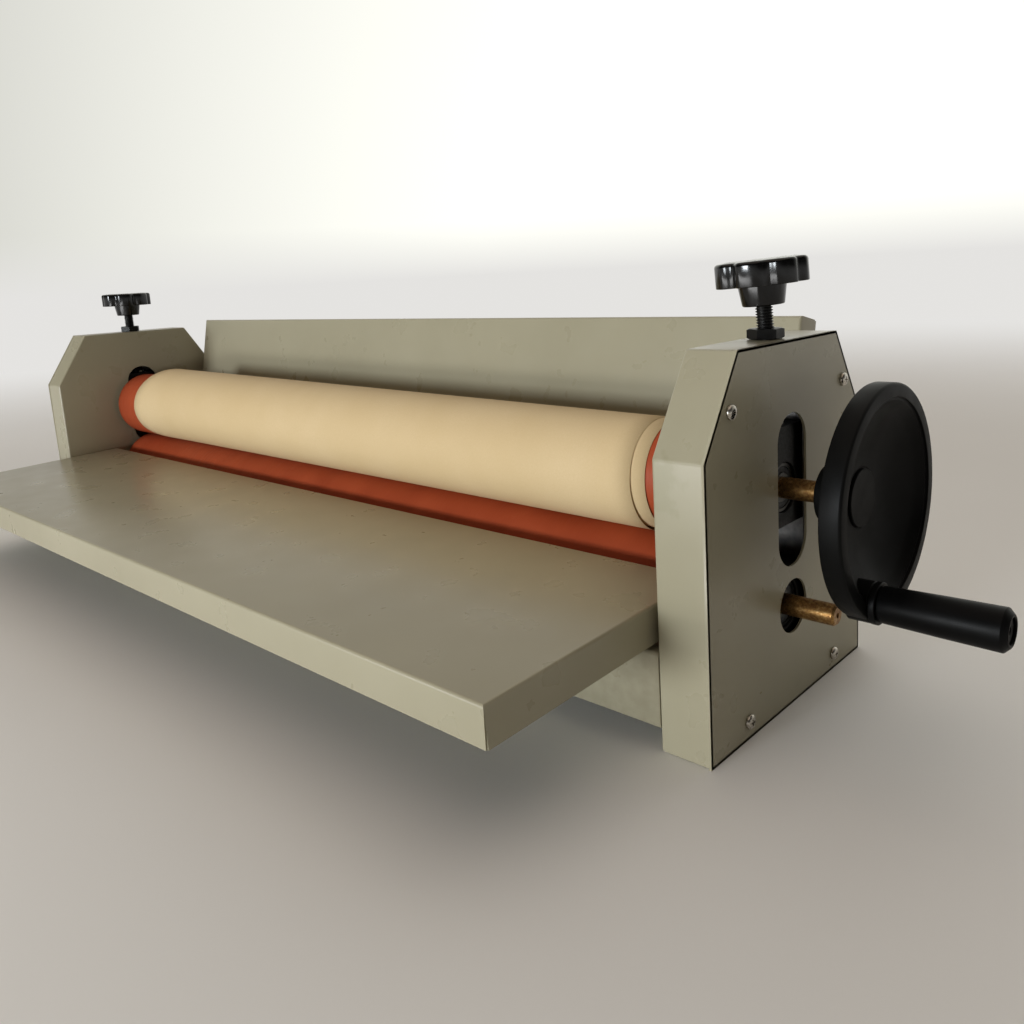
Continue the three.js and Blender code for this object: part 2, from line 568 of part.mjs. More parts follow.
// ---------- hand wheel ----------
// Bore, back of the hub and web, rim, then down the dish to the boss in the middle.
function buildHandwheel() {
  const bore = SHAFT_RADIUS + GAP;
  const hubFront = HUB_BACK + HUB_LENGTH;
  const face = hubFront + WEB_THICKNESS;
  const rimInside = WHEEL_RADIUS - RIM_HEIGHT;
  const dish = rimInside - DISH_STEP;
  const half = WHEEL_EDGE / 2;
  const disc = turnX([
    [hubFront, 0], [hubFront, bore], [HUB_BACK, bore], [HUB_BACK, HUB_RADIUS - HUB_EDGE],
    [HUB_BACK + HUB_EDGE, HUB_RADIUS], [hubFront - HUB_EDGE, HUB_RADIUS], [RIM_BACK - WEB_THICKNESS, dish],
    [RIM_BACK, rimInside], [RIM_BACK, WHEEL_RADIUS - half], [RIM_BACK + half, WHEEL_RADIUS],
    [RIM_FRONT - WHEEL_EDGE, WHEEL_RADIUS - half], [RIM_FRONT, WHEEL_RADIUS - half - WHEEL_EDGE],
    [RIM_FRONT, rimInside + half], [RIM_FRONT - WHEEL_EDGE, rimInside - half], [RIM_BACK + WHEEL_EDGE, dish],
    [face - half, BOSS_RADIUS + DISH_FLARE], [face - BOSS_GROOVE, BOSS_RADIUS],
    [face, BOSS_RADIUS], [face, 0],
  ], 0, UPPER_AXIS_Z, FINE);
  const grubX = HUB_BACK + HUB_LENGTH / 2;
  const pad = rodX(RIM_BACK, RIM_FRONT, HANDLE_PAD_RADIUS, HANDLE_Y, HANDLE_Z, MEDIUM);
  const pinHole = rodX(RIM_BACK - THROUGH, RIM_FRONT + THROUGH, HANDLE_PIN_RADIUS + GAP,
    HANDLE_Y, HANDLE_Z, SMALL);
  const grubHole = rodZ(UPPER_AXIS_Z, UPPER_AXIS_Z + HUB_RADIUS + THROUGH, GRUB_RADIUS + GAP,
    grubX, 0, SMALL);
  add('handwheel', cut(join(disc, pad), pinHole, grubHole), mattBlack);
  add('handwheel_grub_screw', rodZ(UPPER_AXIS_Z + SHAFT_RADIUS + GAP, UPPER_AXIS_Z + HUB_RADIUS - HUB_EDGE,
    GRUB_RADIUS, grubX, 0, SMALL), blackSteel);
}

function buildHandle() {
  const seat = RIM_FRONT + GAP;
  const gripStart = seat + HANDLE_COLLAR + GAP;
  const gripEnd = gripStart + GRIP_LENGTH;
  const capSeat = gripEnd - GRIP_CAP_DEPTH;
  const pinStart = RIM_BACK + WHEEL_EDGE;
  const pinEnd = capSeat - 2 * GAP;
  const bore = HANDLE_PIN_RADIUS + RUNNING;
  add('handle_pin', turnX([
    [pinStart, 0], [pinStart, HANDLE_PIN_RADIUS], [seat, HANDLE_PIN_RADIUS], [seat, HANDLE_COLLAR_RADIUS],
    [seat + HANDLE_COLLAR, HANDLE_COLLAR_RADIUS], [seat + HANDLE_COLLAR, HANDLE_PIN_RADIUS],
    [pinEnd, HANDLE_PIN_RADIUS], [pinEnd, 0],
  ], HANDLE_Y, HANDLE_Z, MEDIUM), blackSteel);
  add('handle_grip', turnX([
    [gripStart, bore], [gripStart, GRIP_START_RADIUS - GRIP_START_EDGE],
    [gripStart + GRIP_START_EDGE, GRIP_START_RADIUS], [gripEnd - GRIP_CHAMFER, GRIP_END_RADIUS],
    [gripEnd, GRIP_END_RADIUS - GRIP_CHAMFER], [gripEnd, GRIP_CAP_RADIUS + GAP],
    [capSeat, GRIP_CAP_RADIUS + GAP], [capSeat, bore], [gripStart, bore],
  ], HANDLE_Y, HANDLE_Z, MEDIUM), mattBlack);
  add('handle_end_cap',
    rodX(capSeat + GAP, gripEnd - GRIP_CAP_RECESS, GRIP_CAP_RADIUS, HANDLE_Y, HANDLE_Z, MEDIUM), mattBlack);
}

// ---------- trays ----------
// Outline with the two far corners rounded: u runs across, v from the lip's edge up to the face.
function bentOutline(u0, u1, v0, v1, bend) {
  const outline = new THREE.Shape();
  outline.moveTo(u0, v0);
  outline.lineTo(u1, v0);
  outline.lineTo(u1, v1 - bend);
  outline.absarc(u1 - bend, v1 - bend, bend, 0, Math.PI / 2, false);
  outline.lineTo(u0 + bend, v1);
  outline.absarc(u0 + bend, v1 - bend, bend, Math.PI / 2, Math.PI, false);
  return outline;
}

// A block with its face and four bent edges: two drawn outlines that cross.
function bentBlock(halfWidth, near, far, low, high, bend) {
  const across = bentOutline(near, far, low, high, bend);
  const along = bentOutline(-halfWidth, halfWidth, low, high, bend);
  const swapped = polygon(along.getPoints(3).map((p) => [p.y, p.x]));
  const lengthwise = polygon(across.getPoints(3).map((p) => [p.x, p.y]));
  return common(drawX(lengthwise, -halfWidth, halfWidth), drawY(swapped, near, far));
}

// Drawn level, face up, about its hinge line, reaching out along -Y.
function trayGeometry() {
  const near = TRAY_PIVOT_INSET;
  const far = TRAY_PIVOT_INSET - TRAY_LENGTH;
  const face = TRAY_PIVOT_DEPTH;
  const low = face - TRAY_LIP;
  const shell = bentBlock(TRAY_HALF_WIDTH, far, near, low, face, TRAY_BEND);
  const inside = bentBlock(TRAY_HALF_WIDTH - TRAY_SHEET, far + TRAY_SHEET, near - TRAY_SHEET,
    low - THROUGH, face - TRAY_SHEET, TRAY_BEND - TRAY_SHEET);
  const inner = TRAY_HALF_WIDTH - TRAY_SHEET;
  const backOpen = box(-inner, inner, near - THROUGH, near + THROUGH, low - THROUGH, face - TRAY_BACK_LIP);
  const side = TRAY_HALF_WIDTH + THROUGH;
  const pinHole = rodX(-side, side, PIN_RADIUS + RUNNING, 0, 0, SMALL);
  return cut(shell, inside, backOpen, pinHole);
}

function buildTrays() {
  const front = add('front_tray', trayGeometry(), putty);
  front.position.set(0, FRONT_PIVOT_Y, PIVOT_Z);
  front.rotation.x = THREE.MathUtils.degToRad(FRONT_TRAY_DROOP);
  const rear = add('rear_tray', trayGeometry(), putty);
  rear.position.set(0, REAR_PIVOT_Y, PIVOT_Z);
  rear.rotation.set(THREE.MathUtils.degToRad(90 - REAR_TRAY_LEAN), 0, Math.PI);
}

// Each pin has its head inside the tray's lip and reaches through the housing's inner plate.
function buildTrayPins(side) {
  const headSeat = TRAY_HALF_WIDTH - TRAY_SHEET - GAP;
  const headEnd = headSeat - PIN_HEAD;
  const tip = INNER + SHEET + PIN_TAIL;
  const profile = [
    [headEnd, 0], [headEnd, PIN_HEAD_RADIUS], [headSeat, PIN_HEAD_RADIUS], [headSeat, PIN_RADIUS],
    [tip, PIN_RADIUS], [tip, 0],
  ].map(([x, r]) => [side * x, r]);
  ['front', 'rear'].forEach((end, i) =>
    add(`${end}_tray_pin_${sideName(side)}`, turnX(profile, ...pivots[i], SMALL), zinc));
}

// ---------- assembly ----------
for (const side of [-1, 1]) {
  const name = sideName(side);
  buildHousing(side);
  buildCover(side);
  buildCoverScrews(side);
  buildTieBolts(side);
  buildGuides(side);
  buildBridge(side);
  buildBlocks(side);
  buildBearing(`${name}_upper_bearing`, side, UPPER_AXIS_Z);
  buildBearing(`${name}_lower_bearing`, side, LOWER_AXIS_Z);
  buildPressureScrew(side);
  buildKnob(side);
  buildLockNut(side);
  buildSpring(side);
  buildTrayPins(side);
}
buildBasePan();
buildTieBar('front_tie_bar', tieBars[0]);
buildTieBar('rear_tie_bar', tieBars[1]);
buildRoller('lower_roller', LOWER_AXIS_Z, OUTER + LOWER_STUB);
buildRoller('upper_roller', UPPER_AXIS_Z, HUB_BACK + SHAFT_IN_HUB);
buildPaperWrap();
buildHandwheel();
buildHandle();
buildTrays();

// The origin is on the floor under the middle of the whole outline, to the nearest millimetre.
const outline = new THREE.Box3().setFromObject(machine);
const middle = outline.getCenter(new THREE.Vector3());
machine.position.set(-Math.round(middle.x), -Math.round(middle.y), 0);

export default machine;
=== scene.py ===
"""Cold roll laminator with a hand wheel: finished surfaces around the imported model.

Metres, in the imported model's frame: +X along the rollers towards the hand wheel, +Y from the
feed side to the back, +Z up. Outlines of turned parts are [along, radius] pairs in millimetres.
"""
import math

import bmesh
import bpy
from mathutils import Matrix, Vector


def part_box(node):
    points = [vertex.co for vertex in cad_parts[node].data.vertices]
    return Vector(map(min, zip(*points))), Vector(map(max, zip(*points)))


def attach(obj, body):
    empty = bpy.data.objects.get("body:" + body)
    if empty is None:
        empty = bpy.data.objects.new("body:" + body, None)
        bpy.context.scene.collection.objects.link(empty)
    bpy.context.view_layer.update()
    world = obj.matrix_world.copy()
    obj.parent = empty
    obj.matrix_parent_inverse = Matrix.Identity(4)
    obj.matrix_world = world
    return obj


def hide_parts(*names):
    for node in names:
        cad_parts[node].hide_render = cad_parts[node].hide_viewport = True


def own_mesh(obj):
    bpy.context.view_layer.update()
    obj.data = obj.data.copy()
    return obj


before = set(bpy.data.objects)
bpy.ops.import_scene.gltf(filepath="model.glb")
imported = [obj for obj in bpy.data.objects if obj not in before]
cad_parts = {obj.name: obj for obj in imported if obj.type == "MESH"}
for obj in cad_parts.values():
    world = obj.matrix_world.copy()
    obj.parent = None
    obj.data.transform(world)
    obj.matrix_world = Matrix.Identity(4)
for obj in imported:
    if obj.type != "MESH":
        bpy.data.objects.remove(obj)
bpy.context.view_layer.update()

MM = 0.001
SIDES = {"left": -1, "right": 1}
SCENE = bpy.context.scene


def low(node):
    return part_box(node)[0]


def high(node):
    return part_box(node)[1]


def middle(node):
    return (low(node) + high(node)) / 2


# ---------- places taken from the frame ----------
MID_X = (low("left_housing").x + high("right_housing").x) / 2
MID_Y = middle("right_housing").y
INNER = low("right_housing").x - MID_X          # machine's middle to a housing's inner face
OUTER = high("right_housing").x - MID_X         # machine's middle to a cover's outer face
HOUSING_HALF = (high("right_housing").y - low("right_housing").y) / 2
HOUSING_TOP = high("right_housing").z
UPPER_AXIS = Vector((MID_X, MID_Y, middle("upper_roller_rubber_sleeve").z))
LOWER_AXIS = Vector((MID_X, MID_Y, middle("lower_roller_rubber_sleeve").z))
SLEEVE_HALF = high("upper_roller_rubber_sleeve").x - MID_X
SLEEVE_RADIUS = (high("lower_roller_rubber_sleeve") - low("lower_roller_rubber_sleeve")).z / 2
SCREW_X = middle("right_pressure_screw").x - MID_X
HANDLE_AXIS = middle("handle_grip")
PIVOT = {end: Vector((MID_X, *middle(f"{end}_tray_pin_right").yz)) for end in ("front", "rear")}

# ---------- sizes of the sheet-metal parts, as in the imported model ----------
SHEET = 1.5 * MM
KNEE_HEIGHT = 156.5 * MM
TOP_HALF = 55.8 * MM
FOLD = 1.6 * MM                                 # outside bend radius of the housings
SLOT_RADIUS = 16.5 * MM
SLOT_BOTTOM = 81.5 * MM
SLOT_TOP = 168 * MM
SHAFT_HOLE = 15.6 * MM
COVER_SCREWS = ((-64, 178), (64, 178), (-51, 10.2), (51, 10.2))
COVER_GAP = 0.45 * MM                           # round a cover, inside the folded rim
COVER_PUSH = 0.42 * MM                          # a cover sits this much towards the front
TRAY_SHEET = 1.2 * MM
TRAY_HALF = 386 * MM
TRAY_LENGTH = 166 * MM
TRAY_INSET = 17 * MM                            # roller end of the tray to its hinge pin
TRAY_FACE = 14 * MM                             # hinge pin up to the tray's face
TRAY_LIP = 21 * MM
TRAY_BACK_LIP = 9 * MM
TRAY_FOLD = 2.0 * MM                            # outside bend radius of the trays
TRAY_SEAM = 0.9 * MM                            # each lip's end is drawn in by this at a corner
PAN_LIP = 12 * MM
PAN_FOLD = 2.2 * MM
TRAY_TILT = {"front": 1.7, "rear": 78.2}        # degrees about X, from level

# ---------- sizes of the turned and moulded parts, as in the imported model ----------
SHAFT_RADIUS = 6
DISC_RADIUS = 23.9
TUBE_INSIDE = 24.2
TUBE_OUTSIDE = 27.2
SLEEVE_INSIDE = 27.5
DISC_INSET = 2
DISC_WIDTH = 12
NUT_FLATS = 17.6 * MM
NUT_TURN = 2                                    # degrees
KNOB_RADIUS = 25 * MM
KNOB_BOSS = 11 * MM
KNOB_ROUND = 4.8 * MM                           # over the top edge
KNOB_LOBES = 7
KNOB_VALLEY = 3.4 * MM                          # depth
KNOB_NARROWING = 3.2                            # over 1 makes the valleys narrower than the lobes
KNOB_TURN = math.radians(-26.3)                 # a lobe's middle, from +X
PAPER_LEFT_RADIUS = 37.4 * MM
PAPER_RIGHT_RADIUS = 35.0 * MM
PAPER_LEFT_Z = 129.6 * MM                       # height of the wrap's own middle at each end
PAPER_RIGHT_Z = 124.2 * MM
PAPER_CLEAR = 0.35 * MM                         # paper to either sleeve
PAPER_SHEET = 0.2 * MM
PAPER_TURNS = 2.0
PAPER_START = math.radians(110)                 # the inner free edge, from straight up
PAPER_LEFT_EDGE = -315 * MM                     # from the machine's middle
PAPER_RIGHT_EDGE = 345 * MM
PAPER_SLIP = 10 * MM                            # the outer turn stops this much short at the right
THREAD_PITCH = 1.5 * MM
THREAD_ROOT = 3.95 * MM
THREAD_CREST = 4.8 * MM
SCREW_BORE = 5.1 * MM                           # in the nuts and knobs
LEAN = {"left": 0.0, "right": math.radians(3.7)}  # of each screw and knob above its nut
LEAN_HEADING = Vector((-0.75, -0.66, 0)).normalized()


# ---------- materials ----------
def linear(code):
    """Linear RGBA of an sRGB hex colour."""
    levels = [int(code[i:i + 2], 16) / 255 for i in (1, 3, 5)]
    curve = [c / 12.92 if c <= 0.04045 else ((c + 0.055) / 1.055) ** 2.4 for c in levels]
    return (*curve, 1.0)


def add_node(tree, kind, inputs=None, stops=None, **settings):
    """Adds a node. An input given a socket is linked to it, and any other value is set."""
    made = tree.nodes.new(kind)
    for key, value in settings.items():
        setattr(made, key, value)
    for key, value in (inputs or {}).items():
        if isinstance(value, bpy.types.NodeSocket):
            tree.links.new(value, made.inputs[key])
        else:
            made.inputs[key].default_value = value
    if stops:
        elements = made.color_ramp.elements
        while len(elements) < len(stops):
            elements.new(0.5)
        for element, (place, colour) in zip(elements, stops):
            element.position = place
            element.color = linear(colour) if isinstance(colour, str) else (colour, colour, colour, 1)
    return made


def new_material(name, **values):
    """A material with its shader's own values set, and the point that its patterns read."""
    material = bpy.data.materials.new(name)
    material.use_nodes = True
    shader = material.node_tree.nodes["Principled BSDF"]
    for key, value in values.items():
        shader.inputs[key.replace("_", " ")].default_value = value
    place = add_node(material.node_tree, "ShaderNodeTexCoord").outputs["Object"]
    return material, shader, place


# Each helper below adds its nodes to the tree of the socket that it is given.
def surface(shader, colour, roughness, normal=None):
    for source, name in ((colour, "Base Color"), (roughness, "Roughness"), (normal, "Normal")):
        if source is not None:
            shader.id_data.links.new(source, shader.inputs[name])


def noise(place, size, detail=2.0, stretch=(1, 1, 1), rough=0.5):
    """Noise whose blotches are size metres across, longer along an axis whose stretch is over 1."""
    scale = tuple(1 / (size * s) for s in stretch)
    mapped = add_node(place.id_data, "ShaderNodeMapping", {"Vector": place, "Scale": scale})
    return add_node(place.id_data, "ShaderNodeTexNoise", {
        "Vector": mapped.outputs[0], "Scale": 1.0, "Detail": detail, "Roughness": rough}).outputs["Fac"]


def ramp(fac, *stops):
    """Colours a pattern from (position, sRGB hex or grey level) pairs."""
    return add_node(fac.id_data, "ShaderNodeValToRGB", {"Fac": fac}, stops=stops).outputs[0]


def spread(fac, low_value, high_value, start=0.3, stop=0.7, **settings):
    """Maps a pattern to a plain value between two limits."""
    return add_node(fac.id_data, "ShaderNodeMapRange", {
        "Value": fac, "From Min": start, "From Max": stop,
        "To Min": low_value, "To Max": high_value}, **settings).outputs["Result"]


def bump(height, distance, strength, under=None):
    inputs = {"Height": height, "Distance": distance, "Strength": strength}
    if under is not None:
        inputs["Normal"] = under
    return add_node(height.id_data, "ShaderNodeBump", inputs).outputs["Normal"]


def mix(factor, first, second):
    return add_node(factor.id_data, "ShaderNodeMix", {0: factor, 6: first, 7: second},
                    data_type="RGBA").outputs[2]


def edge_mask(place, radius):
    """White along corners: where a rounded-off normal differs from the true one."""
    tree = place.id_data
    soft = add_node(tree, "ShaderNodeBevel", {"Radius": radius}, samples=4).outputs[0]
    true = add_node(tree, "ShaderNodeNewGeometry").outputs["True Normal"]
    facing = add_node(tree, "ShaderNodeVectorMath", {0: soft, 1: true}, operation="DOT_PRODUCT")
    return spread(facing.outputs["Value"], 0.0, 1.0, 0.96, 0.80)


def powder_coat(name, repaired=False):
    """Powder coating sprayed and baked on sheet steel: satin, with a fine orange peel, slightly
    uneven in tone, and rubbed paler along the folded edges."""
    material, shader, place = new_material(name, IOR=1.5, Specular_IOR_Level=0.45)
    tone = ramp(noise(place, 90 * MM, 3), (0.32, "#98927b"), (0.68, "#9e9881"))
    rubbed = edge_mask(place, 0.7 * MM)
    patchy = spread(noise(place, 7 * MM, 3), 0.0, 0.45)
    wear = add_node(place.id_data, "ShaderNodeMath", {0: rubbed, 1: patchy}, operation="MULTIPLY")
    colour = mix(wear.outputs[0], tone, linear("#b3ad95"))
    if repaired:
        colour = filler_patch(place, colour)
    surface(shader, colour, spread(noise(place, 25 * MM, 4), 0.26, 0.34),
            bump(noise(place, 2.2 * MM, 2), 0.03 * MM, 0.25))
    return material


def filler_patch(place, colour):
    """Dull smear of filler under the coat at the front knee of a housing, below the weld line."""
    tree = place.id_data
    centre = (MID_X + INNER + 5 * MM, MID_Y - HOUSING_HALF, KNEE_HEIGHT - 12 * MM)
    moved = add_node(tree, "ShaderNodeMapping", {"Vector": place, "Location": tuple(-c for c in centre)})
    flat = add_node(tree, "ShaderNodeVectorMath", {0: moved.outputs[0], 1: (1.0, 0.6, 0.75)},
                    operation="MULTIPLY").outputs["Vector"]
    reach = add_node(tree, "ShaderNodeVectorMath", {0: flat}, operation="LENGTH").outputs["Value"]
    ragged = spread(noise(place, 9 * MM, 4), -6 * MM, 6 * MM)
    total = add_node(tree, "ShaderNodeMath", {0: reach, 1: ragged}, operation="ADD").outputs[0]
    return mix(spread(total, 0.55, 0.0, 8 * MM, 12 * MM), colour, linear("#8e8a70"))


def interior_painted_shade():
    """Near-black painted shade for the faces inside the housings, which lie in shade behind the slots:
    dull, with a faint dusty unevenness.
    """
    material, shader, place = new_material("housing_inside_painted_shade", IOR=1.5, Specular_IOR_Level=0.2)
    dust = noise(place, 12 * MM, 4)
    surface(shader, ramp(dust, (0.35, "#11100e"), (0.7, "#1f1d19")), spread(dust, 0.6, 0.8),
            bump(noise(place, 2 * MM, 2), 0.05 * MM, 0.3))
    return material


def silicone_rubber():
    """Silicone rubber sleeve, ground round: matt, with fine marks that run round the roller."""
    material, shader, place = new_material("ground_silicone_rubber", IOR=1.41, Specular_IOR_Level=0.3)
    tone = ramp(noise(place, 40 * MM, 4), (0.3, "#933b1c"), (0.7, "#a24625"))
    dust = ramp(noise(place, 1.4 * MM, 2), (0.74, 0.0), (0.84, 0.25))
    colour = mix(dust, tone, linear("#a96446"))
    grind = noise(place, 0.7 * MM, 2, stretch=(1, 30, 30))
    surface(shader, colour, spread(grind, 0.5, 0.68), bump(grind, 0.04 * MM, 0.5))
    return material


def kraft():
    """Unbleached kraft wrapping paper: warm tan, a dull calendered face, faint clouds of fibre and
    soft dents where it has been handled."""
    material, shader, place = new_material("kraft_wrapping_paper", IOR=1.45, Specular_IOR_Level=0.25)
    cloudy = ramp(noise(place, 70 * MM, 3), (0.3, "#c9b187"), (0.7, "#d0b991"))
    fibre = noise(place, 0.9 * MM, 3)
    colour = mix(spread(fibre, 0.0, 0.35), cloudy, linear("#c3aa7f"))
    dents = bump(noise(place, 45 * MM, 2, stretch=(3, 1, 1)), 0.4 * MM, 0.3)
    surface(shader, colour, spread(fibre, 0.62, 0.74), bump(fibre, 0.02 * MM, 0.3, dents))
    return material


def rusted_shaft():
    """Turned mild steel gone golden brown in store: a thin rust film over bright metal, finely
    pitted, with the turning marks still catching the light."""
    material, shader, place = new_material("rust_filmed_turned_steel", Metallic=0.85)
    blotch = noise(place, 1.8 * MM, 5, rough=0.6)
    tone = ramp(blotch, (0.32, "#6a4a2b"), (0.52, "#967040"), (0.70, "#bf9c68"))
    turned = noise(place, 0.5 * MM, 1, stretch=(1, 20, 20))
    pits = bump(blotch, 0.08 * MM, 0.5)
    surface(shader, tone, spread(blotch, 0.46, 0.28), bump(turned, 0.03 * MM, 0.5, pits))
    return material


def plated(name, dark, pale, roughness, grain=6 * MM):
    """Zinc or nickel plate over machined steel: metallic, faintly clouded."""
    material, shader, place = new_material(name, Metallic=1.0)
    cloud = noise(place, grain, 4)
    surface(shader, ramp(cloud, (0.3, dark), (0.7, pale)),
            spread(cloud, roughness - 0.07, roughness + 0.09),
            bump(noise(place, 0.6 * MM, 2), 0.02 * MM, 0.5))
    return material


def black_oxide():
    """Hot-blacked steel threads and nuts: deep black with brown where the oil has dried."""
    material, shader, place = new_material("black_oxide_steel", Metallic=0.7)
    cloud = noise(place, 4 * MM, 4)
    paler_edges = spread(edge_mask(place, 0.3 * MM), 0.0, 0.3, 0.0, 1.0)
    tone = ramp(cloud, (0.3, "#0d0d0c"), (0.7, "#181716"))
    surface(shader, mix(paler_edges, tone, linear("#4a4844")), spread(cloud, 0.34, 0.52))
    return material


def cast_block():
    """Machined grey casting, set near black as painted shade for the dark slot it sits in, with open pores
    and paler corners that are a painted highlight.
    """
    material, shader, place = new_material("machined_casting_painted_shade", Metallic=0.6)
    pores = noise(place, 1.2 * MM, 3)
    tone = ramp(pores, (0.3, "#0f0f0e"), (0.7, "#1a1918"))
    # The paler corners mixed in here are a painted highlight along the block's edges.
    paler_edges = spread(edge_mask(place, 0.5 * MM), 0.0, 0.45, 0.0, 1.0)
    surface(shader, mix(paler_edges, tone, linear("#8b8a84")), spread(pores, 0.6, 0.45),
            bump(pores, 0.08 * MM, 0.5))
    return material


def seal_rubber():
    """Moulded nitrile rubber bearing seal, matt, with a film of oil; its near black is partly the rubber's
    own and partly painted shade for the dark slot.
    """
    material, shader, place = new_material("moulded_nitrile_seal", IOR=1.52)
    film = noise(place, 3 * MM, 3)
    surface(shader, ramp(film, (0.3, "#0c0c0c"), (0.7, "#151413")), spread(film, 0.4, 0.65),
            bump(noise(place, 0.7 * MM, 2), 0.02 * MM, 0.4))
    return material


def phenolic():
    """Compression-moulded phenolic knob: jet black and glossy, with dust and faint polish marks."""
    material, shader, place = new_material("glossy_moulded_phenolic", IOR=1.55, Specular_IOR_Level=0.3)
    haze = noise(place, 5 * MM, 4)
    dust = ramp(noise(place, 0.9 * MM, 1), (0.74, 0.0), (0.80, 0.6))
    surface(shader, mix(dust, linear("#040404"), linear("#181716")), spread(haze, 0.10, 0.22),
            bump(noise(place, 9 * MM, 2), 0.04 * MM, 0.25))
    return material


def nylon(name, dark, pale, roughness, gloss):
    """Injection-moulded glass-filled nylon: black, satin, spark-eroded to a fine grain."""
    material, shader, place = new_material(name, IOR=1.53, Specular_IOR_Level=gloss)
    cloud = noise(place, 18 * MM, 4)
    tone = ramp(cloud, (0.3, dark), (0.7, pale))
    paler_edges = spread(edge_mask(place, 0.6 * MM), 0.0, 0.3, 0.0, 1.0)
    surface(shader, mix(paler_edges, tone, linear("#2a2927")),
            spread(cloud, roughness - 0.05, roughness + 0.07),
            bump(noise(place, 0.8 * MM, 2), 0.03 * MM, 0.45))
    return material


PAINT = powder_coat("satin_powder_coat")
PAINTED_SHADE_INSIDE = interior_painted_shade()
PAINT_REPAIRED = powder_coat("satin_powder_coat_over_filler", repaired=True)
RUBBER = silicone_rubber()
PAPER = kraft()
SHAFT_STEEL = rusted_shaft()
NICKEL = plated("nickel_plated_screw", "#a39d92", "#cfcac0", 0.24, 2 * MM)
ZINC = plated("zinc_plated_steel", "#77777a", "#a0a09c", 0.42)
# Bearing steel set dark grey: painted shade for the slot that the bearings sit in.
SHADED_BEARING_STEEL = plated("ground_bearing_steel_painted_shade", "#3b3b3a", "#5a5956", 0.34)
SPRING_STEEL = plated("drawn_spring_wire", "#85857f", "#bdbdb6", 0.25, 3 * MM)
BLACK_STEEL = black_oxide()
CAST = cast_block()
SEAL = seal_rubber()
KNOB_BLACK = phenolic()
WHEEL_BLACK = nylon("spark_eroded_black_nylon", "#060606", "#0a0a09", 0.46, 0.08)
GRIP_BLACK = nylon("satin_black_grip_nylon", "#050505", "#090909", 0.44, 0.08)


# ---------- shape helpers ----------
def axis_of(letter):
    return Vector([float(letter == each) for each in "XYZ"])


def lathe(bm, profile, letter, centre, steps=96):
    """Turns [along, radius] pairs, in metres from centre, once round an axis."""
    along = axis_of(letter)
    outward = axis_of("X" if letter == "Z" else "Z")
    verts = [bm.verts.new(centre + along * a + outward * r) for a, r in profile]
    edges = [bm.edges.new(pair) for pair in zip(verts, verts[1:])]
    bmesh.ops.spin(bm, geom=verts + edges, cent=centre, axis=along, angle=2 * math.pi,
                   steps=steps, use_merge=True)
    bmesh.ops.remove_doubles(bm, verts=bm.verts, dist=1e-6)
    bmesh.ops.recalc_face_normals(bm, faces=bm.faces)
    return bm


def in_mm(profile):
    return [(a * MM, r * MM) for a, r in profile]


def lathed(profile, letter, centre, steps, name):
    """A solid turned from [along, radius] pairs in millimetres."""
    return solid(lathe(bmesh.new(), in_mm(profile), letter, centre, steps), name)


def new_verts(grown):
    return [v for v in grown["geom"] if isinstance(v, bmesh.types.BMVert)]


def pull(bm, faces, vec):
    """Extrudes faces and moves their far side by vec."""
    grown = bmesh.ops.extrude_face_region(bm, geom=faces)
    bmesh.ops.translate(bm, verts=new_verts(grown), vec=vec)


def round_edges(bm, edges, width, segments, clamp=False):
    bmesh.ops.bevel(bm, geom=edges, offset=width, offset_type="OFFSET", segments=segments, profile=0.5,
                    affect="EDGES", material=-1, clamp_overlap=clamp)


def thicken(obj, thickness, offset):
    """Gives a bare sheet its thickness: all on one side at offset -1, or half on each at 0."""
    sheet = obj.modifiers.new("sheet", "SOLIDIFY")
    sheet.thickness = thickness
    sheet.offset = offset


def prism(bm, points, letter, start, end):
    """Draws a closed outline along an axis; its points hold the two other coordinates in order."""
    order = [i for i in range(3) if "XYZ"[i] != letter]
    index = "XYZ".index(letter)
    verts = []
    for pair in points:
        place = [0.0, 0.0, 0.0]
        place[order[0]], place[order[1]] = pair
        place[index] = start
        verts.append(bm.verts.new(place))
    face = bm.faces.new(verts)
    pull(bm, [face], axis_of(letter) * (end - start))
    bmesh.ops.recalc_face_normals(bm, faces=bm.faces)
    return bm


def solid(bm, name):
    mesh = bpy.data.meshes.new(name)
    bm.to_mesh(mesh)
    bm.free()
    made = bpy.data.objects.new(name, mesh)
    SCENE.collection.objects.link(made)
    return made


def bake_modifiers(obj):
    graph = bpy.context.evaluated_depsgraph_get()
    graph.update()
    mesh = bpy.data.meshes.new_from_object(obj.evaluated_get(graph))
    obj.modifiers.clear()
    obj.data = mesh
    return obj


def carve(obj, tools, operation="DIFFERENCE"):
    """Cuts away, joins or keeps what is shared with each tool, and removes the tools."""
    for tool in tools:
        step = obj.modifiers.new("carve", "BOOLEAN")
        step.operation = operation
        step.solver = "EXACT"
        step.object = tool
    bake_modifiers(obj)
    for tool in tools:
        bpy.data.objects.remove(tool)
    return obj


def rod(letter, centre, radius, length, segments=64):
    """A plain cylinder to cut or join with."""
    profile = [(-length / 2, 0), (-length / 2, radius), (length / 2, radius), (length / 2, 0)]
    return solid(lathe(bmesh.new(), profile, letter, Vector(centre), segments), "rod")


def block(corner, opposite):
    bm = bmesh.new()
    bmesh.ops.create_cube(bm, size=1.0)
    corner, opposite = Vector(corner), Vector(opposite)
    bmesh.ops.scale(bm, vec=opposite - corner, verts=bm.verts)
    bmesh.ops.translate(bm, vec=(corner + opposite) / 2, verts=bm.verts)
    return solid(bm, "block")


def soften(obj, width, segments=2, angle=35):
    step = obj.modifiers.new("edges", "BEVEL")
    step.width = width
    step.segments = segments
    step.limit_method = "ANGLE"
    step.angle_limit = math.radians(angle)
    step.harden_normals = True
    return obj


